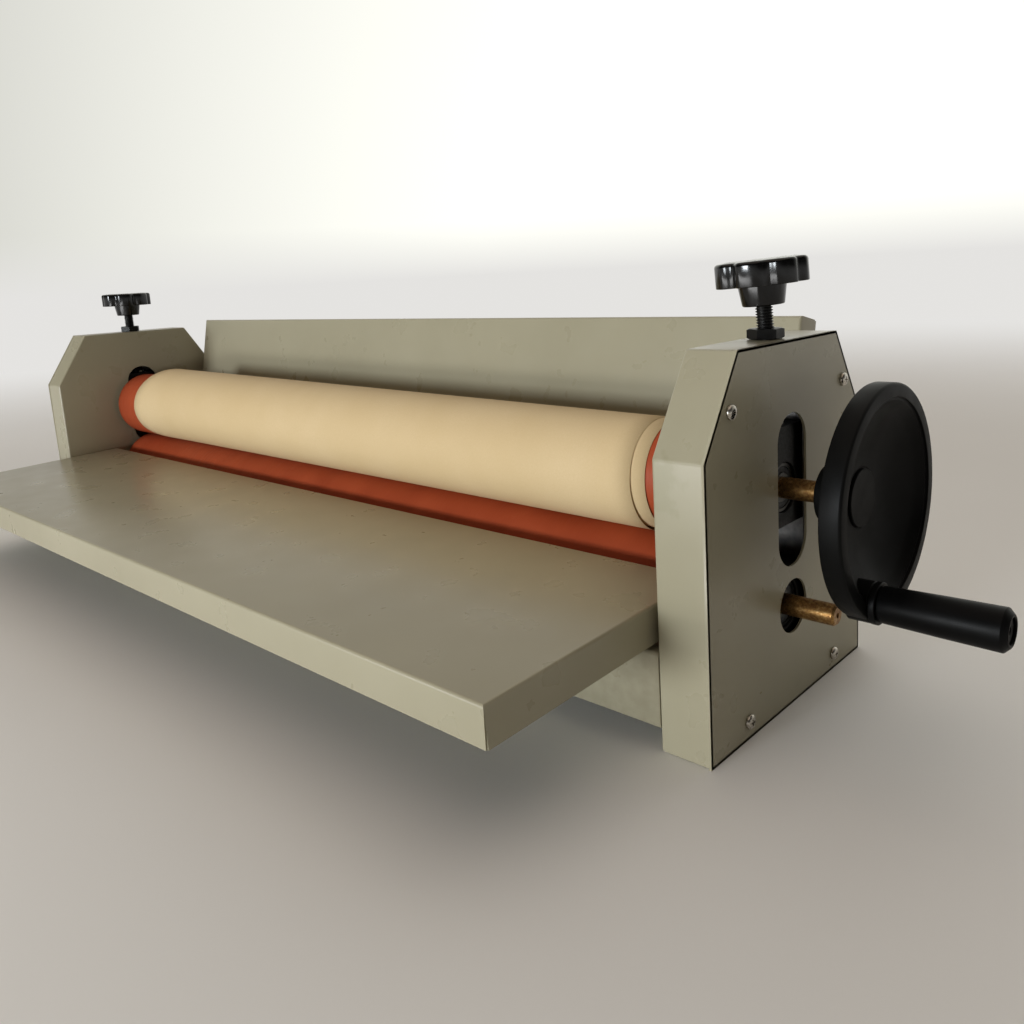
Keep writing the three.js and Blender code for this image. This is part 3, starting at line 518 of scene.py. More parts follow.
def finish(obj, name, material, body, nodes=(), sharp=40):
    """Names a piece, gives it its material and smooth shading, and ties it to its body."""
    obj.name = name
    obj.data.name = name
    obj.data.materials.clear()
    obj.data.materials.append(material)
    for face in obj.data.polygons:
        face.use_smooth = True
    obj.data.set_sharp_from_angle(angle=math.radians(sharp))
    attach(obj, body)
    if nodes:
        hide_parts(*nodes)
    return obj


def copied(node, bevel):
    """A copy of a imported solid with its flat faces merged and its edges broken."""
    bm = bmesh.new()
    bm.from_mesh(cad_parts[node].data)
    bmesh.ops.remove_doubles(bm, verts=bm.verts, dist=1e-6)
    bmesh.ops.dissolve_limit(bm, angle_limit=math.radians(1), verts=bm.verts, edges=bm.edges)
    return soften(solid(bm, node), bevel)


# ---------- side housings ----------
HALF = HOUSING_HALF
OUTLINE = [(MID_Y + y, z) for y, z in (
    (-HALF, 0), (HALF, 0), (HALF, KNEE_HEIGHT), (TOP_HALF, HOUSING_TOP), (-TOP_HALF, HOUSING_TOP),
    (-HALF, KNEE_HEIGHT))]


def slot_tool(x, width):
    """A round of the slot's radius whose upper half is pulled up to the slot's top."""
    bm = bmesh.new()
    bmesh.ops.create_circle(bm, cap_ends=True, radius=SLOT_RADIUS, segments=64)
    bmesh.ops.rotate(bm, verts=bm.verts, cent=(0, 0, 0), matrix=Matrix.Rotation(math.pi / 2, 3, "Y"))
    upper = [v for v in bm.verts if v.co.z > -1e-6]
    bmesh.ops.translate(bm, verts=upper, vec=(0, 0, SLOT_TOP - SLOT_BOTTOM - 2 * SLOT_RADIUS))
    bmesh.ops.translate(bm, verts=bm.verts, vec=(x - width / 2, MID_Y, SLOT_BOTTOM + SLOT_RADIUS))
    pull(bm, bm.faces[:], (width, 0, 0))
    bmesh.ops.recalc_face_normals(bm, faces=bm.faces)
    return solid(bm, "slot")


def screw_places():
    return [(MID_Y + y * MM, z * MM) for y, z in COVER_SCREWS]


def open_box(sign):
    """The folded shell: a drawn outline whose outer end is inset by the sheet and pushed in."""
    inner, outer = MID_X + sign * INNER, MID_X + sign * OUTER
    bm = prism(bmesh.new(), OUTLINE, "X", inner, outer)
    mouth = max(bm.faces, key=lambda f: sign * f.calc_center_median().x)
    bmesh.ops.inset_region(bm, faces=[mouth], thickness=SHEET, use_even_offset=True)
    pull(bm, [mouth], (-sign * (OUTER - INNER - SHEET), 0, 0))
    if mouth.is_valid:
        bmesh.ops.delete(bm, geom=[mouth], context="FACES")
    bmesh.ops.recalc_face_normals(bm, faces=bm.faces)

    def on_outline(vert):
        return any(abs(vert.co.y - y) < 1e-5 and abs(vert.co.z - z) < 1e-5 for y, z in OUTLINE)

    folds = [e for e in bm.edges if all(on_outline(v) for v in e.verts)
             and not all(abs(v.co.x - outer) < 1e-5 for v in e.verts)]
    round_edges(bm, folds, FOLD, 4, clamp=True)
    return solid(bm, "housing")


def weld_lines(sign):
    """Fine grooves across the flange where its strips are welded and filled at the two knees."""
    width, depth = 0.35 * MM, 0.25 * MM
    inner, outer = MID_X + sign * (INNER - 1 * MM), MID_X + sign * (OUTER + 1 * MM)
    grooves = []
    for end in (-1, 1):
        y = MID_Y + end * HALF
        grooves.append(block((inner, y - depth, KNEE_HEIGHT - width),
                             (outer, y + depth, KNEE_HEIGHT + width)))
    return grooves


def inside_housing(point, sign):
    """Whether a point lies in the hollow of a housing."""
    out = sign * (point.x - MID_X)
    slant = (HALF - TOP_HALF) / (HOUSING_TOP - KNEE_HEIGHT)
    reach = HALF - max(0.0, point.z - KNEE_HEIGHT) * slant - SHEET
    return (INNER + SHEET < out < OUTER and abs(point.y - MID_Y) < reach
            and SHEET < point.z < HOUSING_TOP - SHEET)


def build_housing(side, sign):
    wall = MID_X + sign * (INNER + SHEET / 2)
    post_from, post_to = INNER + SHEET / 2, OUTER - SHEET - 0.3 * MM
    shell = open_box(sign)
    posts = [rod("X", (MID_X + sign * (post_from + post_to) / 2, y, z), 4.6 * MM, post_to - post_from, 32)
             for y, z in screw_places()]
    carve(shell, posts, "UNION")
    tools = [slot_tool(wall, 8 * MM), rod("X", (wall, MID_Y, LOWER_AXIS.z), SHAFT_HOLE, 8 * MM)]
    tools += [rod("X", (wall, *PIVOT[end].yz), 3.3 * MM, 8 * MM, 32) for end in PIVOT]
    tools.append(rod("Z", (MID_X + sign * SCREW_X, MID_Y, HOUSING_TOP), 5.4 * MM, 8 * MM))
    tools += weld_lines(sign)
    carve(shell, tools)
    paint = PAINT_REPAIRED if sign > 0 else PAINT
    finish(shell, f"{side}_housing_shell", paint, "frame", [f"{side}_housing"], sharp=30)
    # The faces inside the housing take the near-black painted shade in place of the paint.
    shell.data.materials.append(PAINTED_SHADE_INSIDE)
    for face in shell.data.polygons:
        if inside_housing(face.center + face.normal * 3 * MM, sign):
            face.material_index = 1


def build_cover(side, sign):
    """A flat plate inside the housing's rim. Only the wheel's side is cut for the shafts."""
    bm = bmesh.new()
    back, face = MID_X + sign * (OUTER - SHEET), MID_X + sign * OUTER
    sheet = bm.faces.new([bm.verts.new((back, y, z)) for y, z in OUTLINE])
    ring = bmesh.ops.inset_region(bm, faces=[sheet], thickness=SHEET + COVER_GAP, use_even_offset=True)
    bmesh.ops.delete(bm, geom=ring["faces"], context="FACES")
    front = [v for v in bm.verts if v.co.y < MID_Y]
    bmesh.ops.translate(bm, verts=front, vec=(0, -COVER_PUSH, 0))
    pull(bm, [sheet], (face - back, 0, 0))
    bmesh.ops.recalc_face_normals(bm, faces=bm.faces)
    plate = solid(bm, "cover")
    tools = [rod("X", (face, y, z), 2.3 * MM, 8 * MM, 32) for y, z in screw_places()]
    if side == "right":
        tools += [slot_tool(face, 8 * MM), rod("X", (face, MID_Y, LOWER_AXIS.z), SHAFT_HOLE, 8 * MM)]
    carve(plate, tools)
    soften(plate, 0.15 * MM)
    finish(plate, f"{side}_cover_plate", PAINT, "frame", [f"{side}_cover"])


def cross_recess(x, y, z, sign, size, depth):
    """Two tapered blades that cut a cross recess into a screw head."""
    blades = []
    for tall in (False, True):
        half_y, half_z = (0.55 * MM, size) if tall else (size, 0.55 * MM)
        bm = bmesh.new()
        bmesh.ops.create_cube(bm, size=2.0)
        bmesh.ops.scale(bm, vec=(depth, half_y, half_z), verts=bm.verts)
        deep = [v for v in bm.verts if v.co.x * sign < 0]
        bmesh.ops.scale(bm, vec=(1, 0.62, 0.62), verts=deep)
        bmesh.ops.translate(bm, vec=(x, y, z), verts=bm.verts)
        blades.append(solid(bm, "blade"))
    return blades


def build_cover_screws(side, sign):
    profile = [(-9, 0), (-9, 1.6), (-8.4, 2), (0.05, 2), (0.05, 3.8), (0.25, 4), (1.0, 4), (1.6, 3.75),
               (2.1, 3.2), (2.45, 2.2), (2.58, 1.1), (2.6, 0)]
    face = MID_X + sign * OUTER
    for i, (y, z) in enumerate(screw_places()):
        turned = [(sign * a, r) for a, r in profile]
        screw = lathed(turned, "X", Vector((face, y, z)), 48, "screw")
        carve(screw, cross_recess(face + sign * 2.6 * MM, y, z, sign, 2.1 * MM, 1.5 * MM))
        node = f"{side}_cover_screw_{i + 1}"
        finish(screw, f"{node}_pan_head", NICKEL, "frame", [node])


# ---------- base ----------
def build_base_pan():
    """A channel folded from one sheet: two lips, two webs and the floor."""
    lo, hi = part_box("base_pan")
    lip = PAN_LIP
    path = [(lo.y + lip, hi.z), (lo.y, hi.z), (lo.y, lo.z), (hi.y, lo.z), (hi.y, hi.z), (hi.y - lip, hi.z)]
    bm = bmesh.new()
    verts = [bm.verts.new((lo.x, y, z)) for y, z in path]
    edges = [bm.edges.new(pair) for pair in zip(verts, verts[1:])]
    grown = bmesh.ops.extrude_edge_only(bm, edges=edges)
    bmesh.ops.translate(bm, verts=new_verts(grown), vec=(hi.x - lo.x, 0, 0))
    folds = [e for e in bm.edges if len(e.link_faces) == 2]
    round_edges(bm, folds, PAN_FOLD, 4)
    bmesh.ops.recalc_face_normals(bm, faces=bm.faces)
    floor = min(bm.faces, key=lambda f: f.calc_center_median().z)
    if floor.normal.z > 0:
        bmesh.ops.reverse_faces(bm, faces=bm.faces)
    pan = solid(bm, "pan")
    thicken(pan, SHEET, -1)
    finish(pan, "base_pan_folded", PAINT, "frame", ["base_pan"], sharp=30)


def build_tie_bars():
    for end in ("front", "rear"):
        node = f"{end}_tie_bar"
        lo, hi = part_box(node)
        centre = middle(node)
        half, radius, edge = (hi.x - lo.x) / 2, (hi.z - lo.z) / 2, 0.8 * MM
        bar = lathe(bmesh.new(), [(-half, 0), (-half, radius - edge), (-half + edge, radius),
                                  (half - edge, radius), (half, radius - edge), (half, 0)], "X", centre, 48)
        finish(solid(bar, node), f"{node}_turned", ZINC, "frame", [node])
    for side in SIDES:
        for i in (1, 2):
            node = f"{side}_tie_bolt_{i}"
            finish(copied(node, 0.4 * MM), f"{node}_hex_head", ZINC, "frame", [node])


# ---------- bearings, blocks and guides ----------
def build_bearing(node, body):
    """Sealed ball bearing: the two races in one turned section, with a rubber seal on each face."""
    lo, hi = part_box(node)
    half = (hi.x - lo.x) / 2 / MM
    outside = (hi.z - lo.z) / 2 / MM
    section = [(-half, 6.1), (-half, 8.2), (-half + 0.8, 8.4), (-half + 0.8, 11.7), (-half, 11.9),
               (-half, outside - 0.4), (-half + 0.4, outside), (half - 0.4, outside), (half, outside - 0.4),
               (half, 11.9), (half - 0.8, 11.7), (half - 0.8, 8.4), (half, 8.2), (half, 6.1), (-half, 6.1)]
    ring = lathed(section, "X", middle(node), 72, node)
    finish(ring, f"{node}_races", SHADED_BEARING_STEEL, body, [node])
    # The near-black seal on each face also stands in for the shade inside the slot.
    for face, sign in (("inner", -1), ("outer", 1)):
        seal = [(half - 0.75, 8.6), (half - 0.4, 8.7), (half - 0.25, 9.2), (half - 0.25, 11.1),
                (half - 0.4, 11.5), (half - 0.75, 11.6), (half - 0.75, 8.6)]
        made = lathed([(sign * a, r) for a, r in seal], "X", middle(node), 72, node)
        finish(made, f"{node}_{face}_seal", SEAL, body)


def build_carriers(side):
    for level, body in (("upper", "carriage"), ("lower", "frame")):
        node = f"{side}_{level}_bearing_block"
        finish(copied(node, 0.7 * MM), f"{node}_machined", CAST, body, [node])
        build_bearing(f"{side}_{level}_bearing", body)
    for node in (f"{side}_front_guide", f"{side}_rear_guide", f"{side}_screw_bridge"):
        finish(copied(node, 0.5 * MM), f"{node}_bar", ZINC, "frame", [node])


# ---------- rollers ----------
def build_shaft(node, name, body, axis):
    """Journals and two end discs turned in one piece, centre-drilled at the wheel's end."""
    lo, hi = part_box(node)
    start, end = (lo.x - MID_X) / MM, (hi.x - MID_X) / MM
    outer = SLEEVE_HALF / MM - DISC_INSET
    inner = outer - DISC_WIDTH
    section = [
        (start, 0), (start, SHAFT_RADIUS - 1.2), (start + 1.2, SHAFT_RADIUS),
        (-outer, SHAFT_RADIUS), (-outer, DISC_RADIUS - 0.5), (-outer + 0.5, DISC_RADIUS),
        (-inner, DISC_RADIUS), (-inner, SHAFT_RADIUS), (inner, SHAFT_RADIUS), (inner, DISC_RADIUS),
        (outer - 0.5, DISC_RADIUS), (outer, DISC_RADIUS - 0.5), (outer, SHAFT_RADIUS),
        (end - 1.2, SHAFT_RADIUS), (end, SHAFT_RADIUS - 1.2), (end, 1.6), (end - 2.2, 0.6),
        (end - 3.4, 0.6), (end - 3.8, 0),
    ]
    finish(lathed(section, "X", axis, 72, node), name, SHAFT_STEEL, body, [node])


def tube_section(half, inside, outside, edge):
    """A tube's closed section, with its outer ends rounded over by edge."""
    return [(-half, inside), (-half, outside - edge), (-half + 0.3 * edge, outside - 0.3 * edge),
            (-half + edge, outside), (half - edge, outside), (half - 0.3 * edge, outside - 0.3 * edge),
            (half, outside - edge), (half, inside), (-half, inside)]


def build_tube(node, name, body, axis, material, inside, outside, edge):
    section = tube_section(SLEEVE_HALF / MM, inside, outside, edge)
    finish(lathed(section, "X", axis, 144, node), name, material, body, [node])


def build_rollers():
    for level, axis in (("upper", UPPER_AXIS), ("lower", LOWER_AXIS)):
        body = f"{level}_roller"
        build_shaft(f"{body}_shaft", f"{body}_journals", body, axis)
        build_tube(f"{body}_rubber_sleeve", f"{body}_ground_rubber", body, axis, RUBBER,
                   SLEEVE_INSIDE, SLEEVE_RADIUS / MM, 1)
        build_tube(f"{body}_core_tube", f"{body}_steel_tube", body, axis, ZINC,
                   TUBE_INSIDE, TUBE_OUTSIDE, 0.4)


def paper_radius(angle, along, layer):
    """Distance of the paper from the upper roller's axis. The loose wrap is round but hangs off
    centre, bigger at its left end. It can't enter either sleeve, so the nip pinches it."""
    middle_z = PAPER_LEFT_Z + (PAPER_RIGHT_Z - PAPER_LEFT_Z) * along - UPPER_AXIS.z
    radius = PAPER_LEFT_RADIUS + (PAPER_RIGHT_RADIUS - PAPER_LEFT_RADIUS) * along
    if layer < 1:
        slack = (1 - layer) * (0.5 + 0.6 * along) * MM
        radius -= slack
        middle_z += 0.7 * slack
    rise = math.cos(angle)
    loose = middle_z * rise + math.sqrt(radius ** 2 - (middle_z * math.sin(angle)) ** 2)
    loose = max(loose, SLEEVE_RADIUS + PAPER_CLEAR + layer * 0.3 * MM)
    apart = UPPER_AXIS.z - LOWER_AXIS.z
    room = SLEEVE_RADIUS + PAPER_CLEAR + (1 - layer) * 0.3 * MM
    under = (apart * rise) ** 2 - apart ** 2 + room ** 2
    if rise < 0 and under > 0:
        loose = min(loose, -apart * rise - math.sqrt(under))
    return loose


def build_paper_wrap():
    """Kraft paper wound twice round the upper sleeve from one strip, rolled up in a spiral. Both
    free edges are at the back, and the turns have slipped sideways at the right end."""
    steps, rows = 240, 40
    bm = bmesh.new()
    bmesh.ops.create_grid(bm, x_segments=rows, y_segments=steps, size=0.5)
    for vert in bm.verts:
        along, wound = vert.co.x + 0.5, vert.co.y + 0.5
        layer = smooth_step(wound, 0.44, 0.56)
        angle = PAPER_START + 2 * math.pi * PAPER_TURNS * wound
        left = MID_X + PAPER_LEFT_EDGE + 17 * MM * math.sin(angle) + 3 * MM * math.cos(angle)
        left += (1 - layer) * 4 * MM
        right = MID_X + PAPER_RIGHT_EDGE - PAPER_SLIP * layer + 0.6 * MM * math.sin(2 * angle)
        radius = paper_radius(angle, along, layer)
        vert.co = Vector((left + (right - left) * along, MID_Y + radius * math.sin(angle),
                          UPPER_AXIS.z + radius * math.cos(angle)))
    paper = solid(bm, "paper")
    thicken(paper, PAPER_SHEET, 0)
    finish(paper, "kraft_paper_wrap", PAPER, "carriage", ["paper_wrap"])


def smooth_step(value, start, stop):
    t = min(1.0, max(0.0, (value - start) / (stop - start)))
    return t * t * (3 - 2 * t)


# ---------- pressure screws, knobs, nuts and springs ----------
def build_pressure_screw(side):
    """A threaded rod: one turn's tooth swept up in a helix and closed at both ends."""
    node = f"{side}_pressure_screw"
    lo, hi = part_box(node)
    pitch, root, crest, steps = THREAD_PITCH, THREAD_ROOT, THREAD_CREST, 32
    centre = middle(node)
    turns = int((hi.z - lo.z) / pitch) - 1
    bm = bmesh.new()
    tooth = [(0, root), (0.12, root), (0.44, crest), (0.56, crest), (0.88, root), (1, root)]
    verts = [bm.verts.new((centre.x + r, centre.y, lo.z + 0.3 * MM + a * pitch)) for a, r in tooth]
    edges = [bm.edges.new(pair) for pair in zip(verts, verts[1:])]
    bmesh.ops.spin(bm, geom=verts + edges, cent=centre, axis=(0, 0, 1), dvec=(0, 0, pitch / steps),
                   angle=2 * math.pi * turns, steps=steps * turns)
    bmesh.ops.remove_doubles(bm, verts=bm.verts, dist=1e-6)
    bmesh.ops.holes_fill(bm, edges=[e for e in bm.edges if e.is_boundary], sides=0)
    bmesh.ops.recalc_face_normals(bm, faces=bm.faces)
    bend_from = high(f"{side}_hex_nut").z
    for vert in bm.verts:
        vert.co += LEAN_HEADING * math.tan(LEAN[side]) * max(0.0, vert.co.z - bend_from)
    screw = solid(bm, node)
    finish(screw, f"{side}_threaded_rod", BLACK_STEEL, f"{side}_screw", [node])


def lobed_disc(centre, height):
    """A round plate with wide lobes and narrow valleys, fully rounded over its top edge."""
    bm = bmesh.new()
    bmesh.ops.create_circle(bm, cap_ends=True, radius=1.0, segments=KNOB_LOBES * 28)
    for vert in bm.verts:
        angle = math.atan2(vert.co.y, vert.co.x) - KNOB_TURN
        valley = (0.5 - 0.5 * math.cos(KNOB_LOBES * angle)) ** KNOB_NARROWING
        vert.co *= KNOB_RADIUS - KNOB_VALLEY * valley
    bmesh.ops.translate(bm, verts=bm.verts, vec=centre)
    pull(bm, bm.faces[:], (0, 0, height))
    rim = [e for e in bm.edges if all(v.co.z > centre.z + height / 2 for v in e.verts)]
    round_edges(bm, rim, KNOB_ROUND, 7, clamp=True)
    foot = [e for e in bm.edges if all(v.co.z < centre.z + 1e-6 for v in e.verts)]
    round_edges(bm, foot, 0.5 * MM, 3, clamp=True)
    crown = max(bm.faces, key=lambda f: f.calc_center_median().z)
    bmesh.ops.inset_region(bm, faces=[crown], thickness=5 * MM, depth=0.4 * MM, use_even_offset=True)
    bmesh.ops.recalc_face_normals(bm, faces=bm.faces)
    return solid(bm, "knob")


def build_knob(side, sign):
    """Lobed head on a conical boss, bored through for the screw and leaning as the screw does."""
    node = f"{side}_pressure_knob"
    lo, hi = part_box(node)
    x = MID_X + sign * SCREW_X
    head_height = hi.z - lo.z - KNOB_BOSS - 0.4 * MM
    knob = lobed_disc(Vector((x, MID_Y, lo.z + KNOB_BOSS)), head_height)
    cone = [(0, 0), (0, 10.9), (0.5, 11.4), (11, 13.1), (13, 13.1), (13, 0)]
    boss = lathed(cone, "Z", Vector((x, MID_Y, lo.z)), 96, "boss")
    carve(knob, [boss], "UNION")
    carve(knob, [rod("Z", (x, MID_Y, lo.z), SCREW_BORE, 32 * MM)])
    foot = Vector((x, MID_Y, high(f"{side}_hex_nut").z))
    tilt = Matrix.Rotation(LEAN[side], 4, Vector((0, 0, 1)).cross(LEAN_HEADING))
    knob.data.transform(Matrix.Translation(foot) @ tilt @ Matrix.Translation(-foot))
    finish(knob, f"{side}_lobed_knob", KNOB_BLACK, f"{side}_screw", [node], sharp=28)


def build_nut(side):
    """Hexagon nut: a six-sided bar with both faces turned to a chamfer."""
    node = f"{side}_hex_nut"
    lo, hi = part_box(node)
    centre = middle(node)
    corner = NUT_FLATS / math.sqrt(3)
    bm = bmesh.new()
    bmesh.ops.create_cone(bm, cap_ends=True, segments=6, radius1=corner, radius2=corner,
                          depth=hi.z - lo.z)
    turn = Matrix.Rotation(math.radians(NUT_TURN), 3, "Z")
    bmesh.ops.rotate(bm, verts=bm.verts, cent=(0, 0, 0), matrix=turn)
    bmesh.ops.translate(bm, verts=bm.verts, vec=centre)
    nut = solid(bm, "nut")
    half, face, chamfer = (hi.z - lo.z) / 2, NUT_FLATS * 0.5, 0.7 * MM
    cone = lathe(bmesh.new(), [(-half, 0), (-half, face), (-half + chamfer, corner * 1.01),
                               (half - chamfer, corner * 1.01), (half, face), (half, 0)], "Z", centre, 72)
    carve(nut, [solid(cone, "cone")], "INTERSECT")
    carve(nut, [rod("Z", centre, SCREW_BORE, 20 * MM)])
    soften(nut, 0.2 * MM)
    finish(nut, f"{side}_chamfered_nut", BLACK_STEEL, "frame", [node])


def build_spring(side):
    """Round wire swept in five turns."""
    node = f"{side}_pressure_spring"
    lo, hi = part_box(node)
    centre = middle(node)
    wire, turns, steps = 1.1 * MM, 5, 40
    coil = (hi.x - lo.x) / 2 - wire
    rise = hi.z - lo.z - 2 * wire
    bm = bmesh.new()
    made = bmesh.ops.create_circle(bm, cap_ends=False, radius=wire, segments=14)
    bmesh.ops.rotate(bm, verts=bm.verts, cent=(0, 0, 0), matrix=Matrix.Rotation(math.pi / 2, 3, "X"))
    bmesh.ops.translate(bm, verts=made["verts"], vec=(centre.x + coil, centre.y, lo.z + wire))
    bmesh.ops.spin(bm, geom=bm.verts[:] + bm.edges[:], cent=centre, axis=(0, 0, 1),
                   dvec=(0, 0, rise / (turns * steps)), angle=2 * math.pi * turns, steps=turns * steps)
    bmesh.ops.holes_fill(bm, edges=[e for e in bm.edges if e.is_boundary], sides=0)
    bmesh.ops.recalc_face_normals(bm, faces=bm.faces)
    spring = finish(solid(bm, node), f"{side}_coil_spring", SPRING_STEEL, "frame", [node])
    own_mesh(spring)


# ---------- hand wheel ----------
def wheel_section(back, front):
    """[along, radius] pairs from the bore, over the hub and rim, down the dish to the middle boss."""
    rim_back, radius, ring = front - 11.5, 60.8, 53.6
    boss_face, boss = back + 21, 15.7
    dish = []
    for i in range(1, 13):
        t = 1 - i / 12
        dish.append((boss_face - 1.4 + (front - 1.2 - boss_face) * t ** 1.9,
                     boss + 0.9 + (ring - 2.2 - boss) * t))
    return [
        (back + 15, 0), (back + 15, 6.2), (back, 6.2), (back, 14.2), (back + 0.6, 15.4), (back + 2, 16),
        (back + 11, 16.6), (back + 13.5, 18.5), (back + 15.5, 24), (back + 18.5, 38), (rim_back - 1, 50.5),
        (rim_back, 52), (rim_back, radius - 1.4), (rim_back + 0.4, radius - 0.4), (rim_back + 1.4, radius),
        (front - 1.5, radius), (front - 0.8, radius - 0.2), (front - 0.2, radius - 0.8),
        (front, radius - 1.5), (front, ring + 0.3), (front - 0.2, ring), (front - 1.2, ring - 0.1),
        (front - 1.4, ring - 0.4), (front - 1.4, ring - 1.6), *dish,
        (boss_face - 1.7, boss + 0.5), (boss_face - 1.7, boss), (boss_face - 0.3, boss - 0.2),
        (boss_face, boss - 0.6), (boss_face, 0),
    ]


def build_handwheel():
    lo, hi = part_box("handwheel")
    back, front = (lo.x - MID_X) / MM, (hi.x - MID_X) / MM
    wheel = lathed(wheel_section(back, front), "X", UPPER_AXIS, 160, "wheel")
    pad = lathed([(-11.2, 0), (-11.2, 10.6), (-0.5, 10.6), (0, 10.1), (0, 0)],
                 "X", Vector((hi.x, *HANDLE_AXIS.yz)), 64, "pad")
    carve(wheel, [pad], "UNION")
    grub = middle("handwheel_grub_screw")
    carve(wheel, [rod("Z", (grub.x, grub.y, UPPER_AXIS.z + 12 * MM), 2.8 * MM, 12 * MM, 32)])
    finish(wheel, "dished_hand_wheel", WHEEL_BLACK, "upper_roller", ["handwheel"], sharp=32)
    screw = copied("handwheel_grub_screw", 0.3 * MM)
    finish(screw, "hub_grub_screw", BLACK_STEEL, "upper_roller", ["handwheel_grub_screw"])


def build_handle():
    lo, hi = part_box("handle_grip")
    length = (hi.x - lo.x) / MM
    section = [(0, 3.8), (0, 8.6), (0.3, 9.0), (1.0, 9.3), (length * 0.5, 10.1), (length - 3.0, 10.6),
               (length - 2.6, 10.4), (length - 0.3, 8.1), (length, 7.6), (length, 6.9), (length - 0.5, 6.5),
               (length - 4, 6.5), (length - 4, 3.8), (0, 3.8)]
    grip = lathed(section, "X", Vector((lo.x, *HANDLE_AXIS.yz)), 112, "grip")
    finish(grip, "tapered_handle_grip", GRIP_BLACK, "handle", ["handle_grip"], sharp=25)
    cap_lo, cap_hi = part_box("handle_end_cap")
    thick = (cap_hi.x - cap_lo.x) / MM
    section = [(0, 0), (0, 6.2), (thick - 0.7, 6.2), (thick - 0.2, 5.7), (thick, 4.9),
               (thick - 0.2, 2.2), (thick - 0.9, 1.6), (thick - 0.9, 0)]
    cap = lathed(section, "X", Vector((cap_lo.x, *HANDLE_AXIS.yz)), 64, "cap")
    finish(cap, "handle_cap_disc", GRIP_BLACK, "handle", ["handle_end_cap"])
    pin_lo, pin_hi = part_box("handle_pin")
    collar_end = lo.x - 0.3 * MM
    reach = (pin_hi.x - pin_lo.x) / MM
    collar = (collar_end - pin_lo.x) / MM
    section = [(0, 0), (0, 3.2), (0.5, 3.7), (collar - 3.2, 3.7), (collar - 3.2, 10.5),
               (collar - 2.9, 10.8), (collar - 0.3, 10.8), (collar, 10.5), (collar, 3.7), (reach, 3.7),
               (reach, 0)]
    pin = lathed(section, "X", Vector((pin_lo.x, *HANDLE_AXIS.yz)), 64, "pin")
    finish(pin, "shouldered_handle_pin", GRIP_BLACK, "upper_roller", ["handle_pin"])


# ---------- trays ----------
def tray_place(end):
    """From the tray drawn level about its hinge line to where it stands at rest."""
    tilt = Matrix.Rotation(math.radians(TRAY_TILT[end]), 4, "X")
    spin = Matrix.Rotation(math.pi, 4, "Z") if end == "rear" else Matrix.Identity(4)
    return Matrix.Translation(PIVOT[end]) @ tilt @ spin


def build_tray(end):
    """One sheet with four edges folded down; the corners stay open as narrow V seams."""
    near, far = TRAY_INSET, TRAY_INSET - TRAY_LENGTH
    bm = bmesh.new()
    corners = [(-TRAY_HALF, far), (TRAY_HALF, far), (TRAY_HALF, near), (-TRAY_HALF, near)]
    face = bm.faces.new([bm.verts.new((x, y, TRAY_FACE)) for x, y in corners])
    sides = list(face.edges)
    for edge in sides:
        ends = [v.co.copy() for v in edge.verts]
        run = (ends[1] - ends[0]).normalized()
        is_back = all(abs(v.y - near) < 1e-6 for v in ends)
        drop = TRAY_BACK_LIP if is_back else TRAY_LIP
        grown = bmesh.ops.extrude_edge_only(bm, edges=[edge])
        for vert in new_verts(grown):
            toward = 1 if (vert.co - ends[0]).length < 1e-6 else -1
            vert.co += run * toward * TRAY_SEAM + Vector((0, 0, -drop))
    bmesh.ops.recalc_face_normals(bm, faces=bm.faces)
    if face.normal.z < 0:
        bmesh.ops.reverse_faces(bm, faces=bm.faces)
    round_edges(bm, sides, TRAY_FOLD, 4)
    bmesh.ops.transform(bm, matrix=tray_place(end), verts=bm.verts)
    tray = solid(bm, "tray")
    thicken(tray, TRAY_SHEET, -1)
    bake_modifiers(tray)
    carve(tray, [rod("X", PIVOT[end], 3.1 * MM, 2.2 * TRAY_HALF, 32)])
    node = f"{end}_tray"
    finish(tray, f"{node}_folded_sheet", PAINT, node, [node], sharp=30)


def build_tray_pins(side, sign):
    for end in ("front", "rear"):
        node = f"{end}_tray_pin_{side}"
        lo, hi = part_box(node)
        head = lo.x if sign > 0 else hi.x
        length = (hi.x - lo.x) / MM
        section = [(0, 0), (0, 3.6), (0.4, 4.8), (1.1, 5.5), (2.5, 5.5), (2.5, 3), (length - 0.5, 3),
                   (length, 2.5), (length, 0)]
        turned = [(sign * a, r) for a, r in section]
        pin = lathed(turned, "X", Vector((head, *PIVOT[end].yz)), 48, node)
        finish(pin, f"{node}_rivet", ZINC, "frame", [node])


# ---------- the whole machine ----------
for side, sign in SIDES.items():
    build_housing(side, sign)
    build_cover(side, sign)
    build_cover_screws(side, sign)
    build_carriers(side)
    build_pressure_screw(side)
    build_knob(side, sign)
    build_nut(side)
    build_spring(side)
    build_tray_pins(side, sign)
build_base_pan()
build_tie_bars()
build_rollers()
build_paper_wrap()
build_handwheel()
build_handle()
for end in PIVOT:
    build_tray(end)


# ---------- floor, light and camera ----------
KEY_TOWARD = (-0.15, -0.99, 0.055)              # low, from the front and a little left
KEY_STRENGTH = (2.15, 2.29, 2.40)
KEY_SPREAD = 14                                 # degrees across, for a soft edge to the shadows
OVERHEAD_TOWARD = (0.0, -0.1, 1.0)
OVERHEAD_STRENGTH = (0.74, 0.62, 0.52)
OVERHEAD_SPREAD = 80
STRIP_PLACE = (MID_X, -0.75, 0.06)              # a low strip box just in front of the tray
STRIP_AIM = (MID_X, -0.05, 0.10)
STRIP_SIZE = (0.9, 0.10)
STRIP_POWER = 2.5
WORLD_HORIZON = (0.78, 0.77, 0.75)
WORLD_DOME = (0.055, 0.051, 0.046)
WORLD_BACK = (1.1, 1.1, 1.02)
WORLD_BRIGHT_SIDE = (-0.35, 0.94, 0.0)
FLOOR_HALF = 12
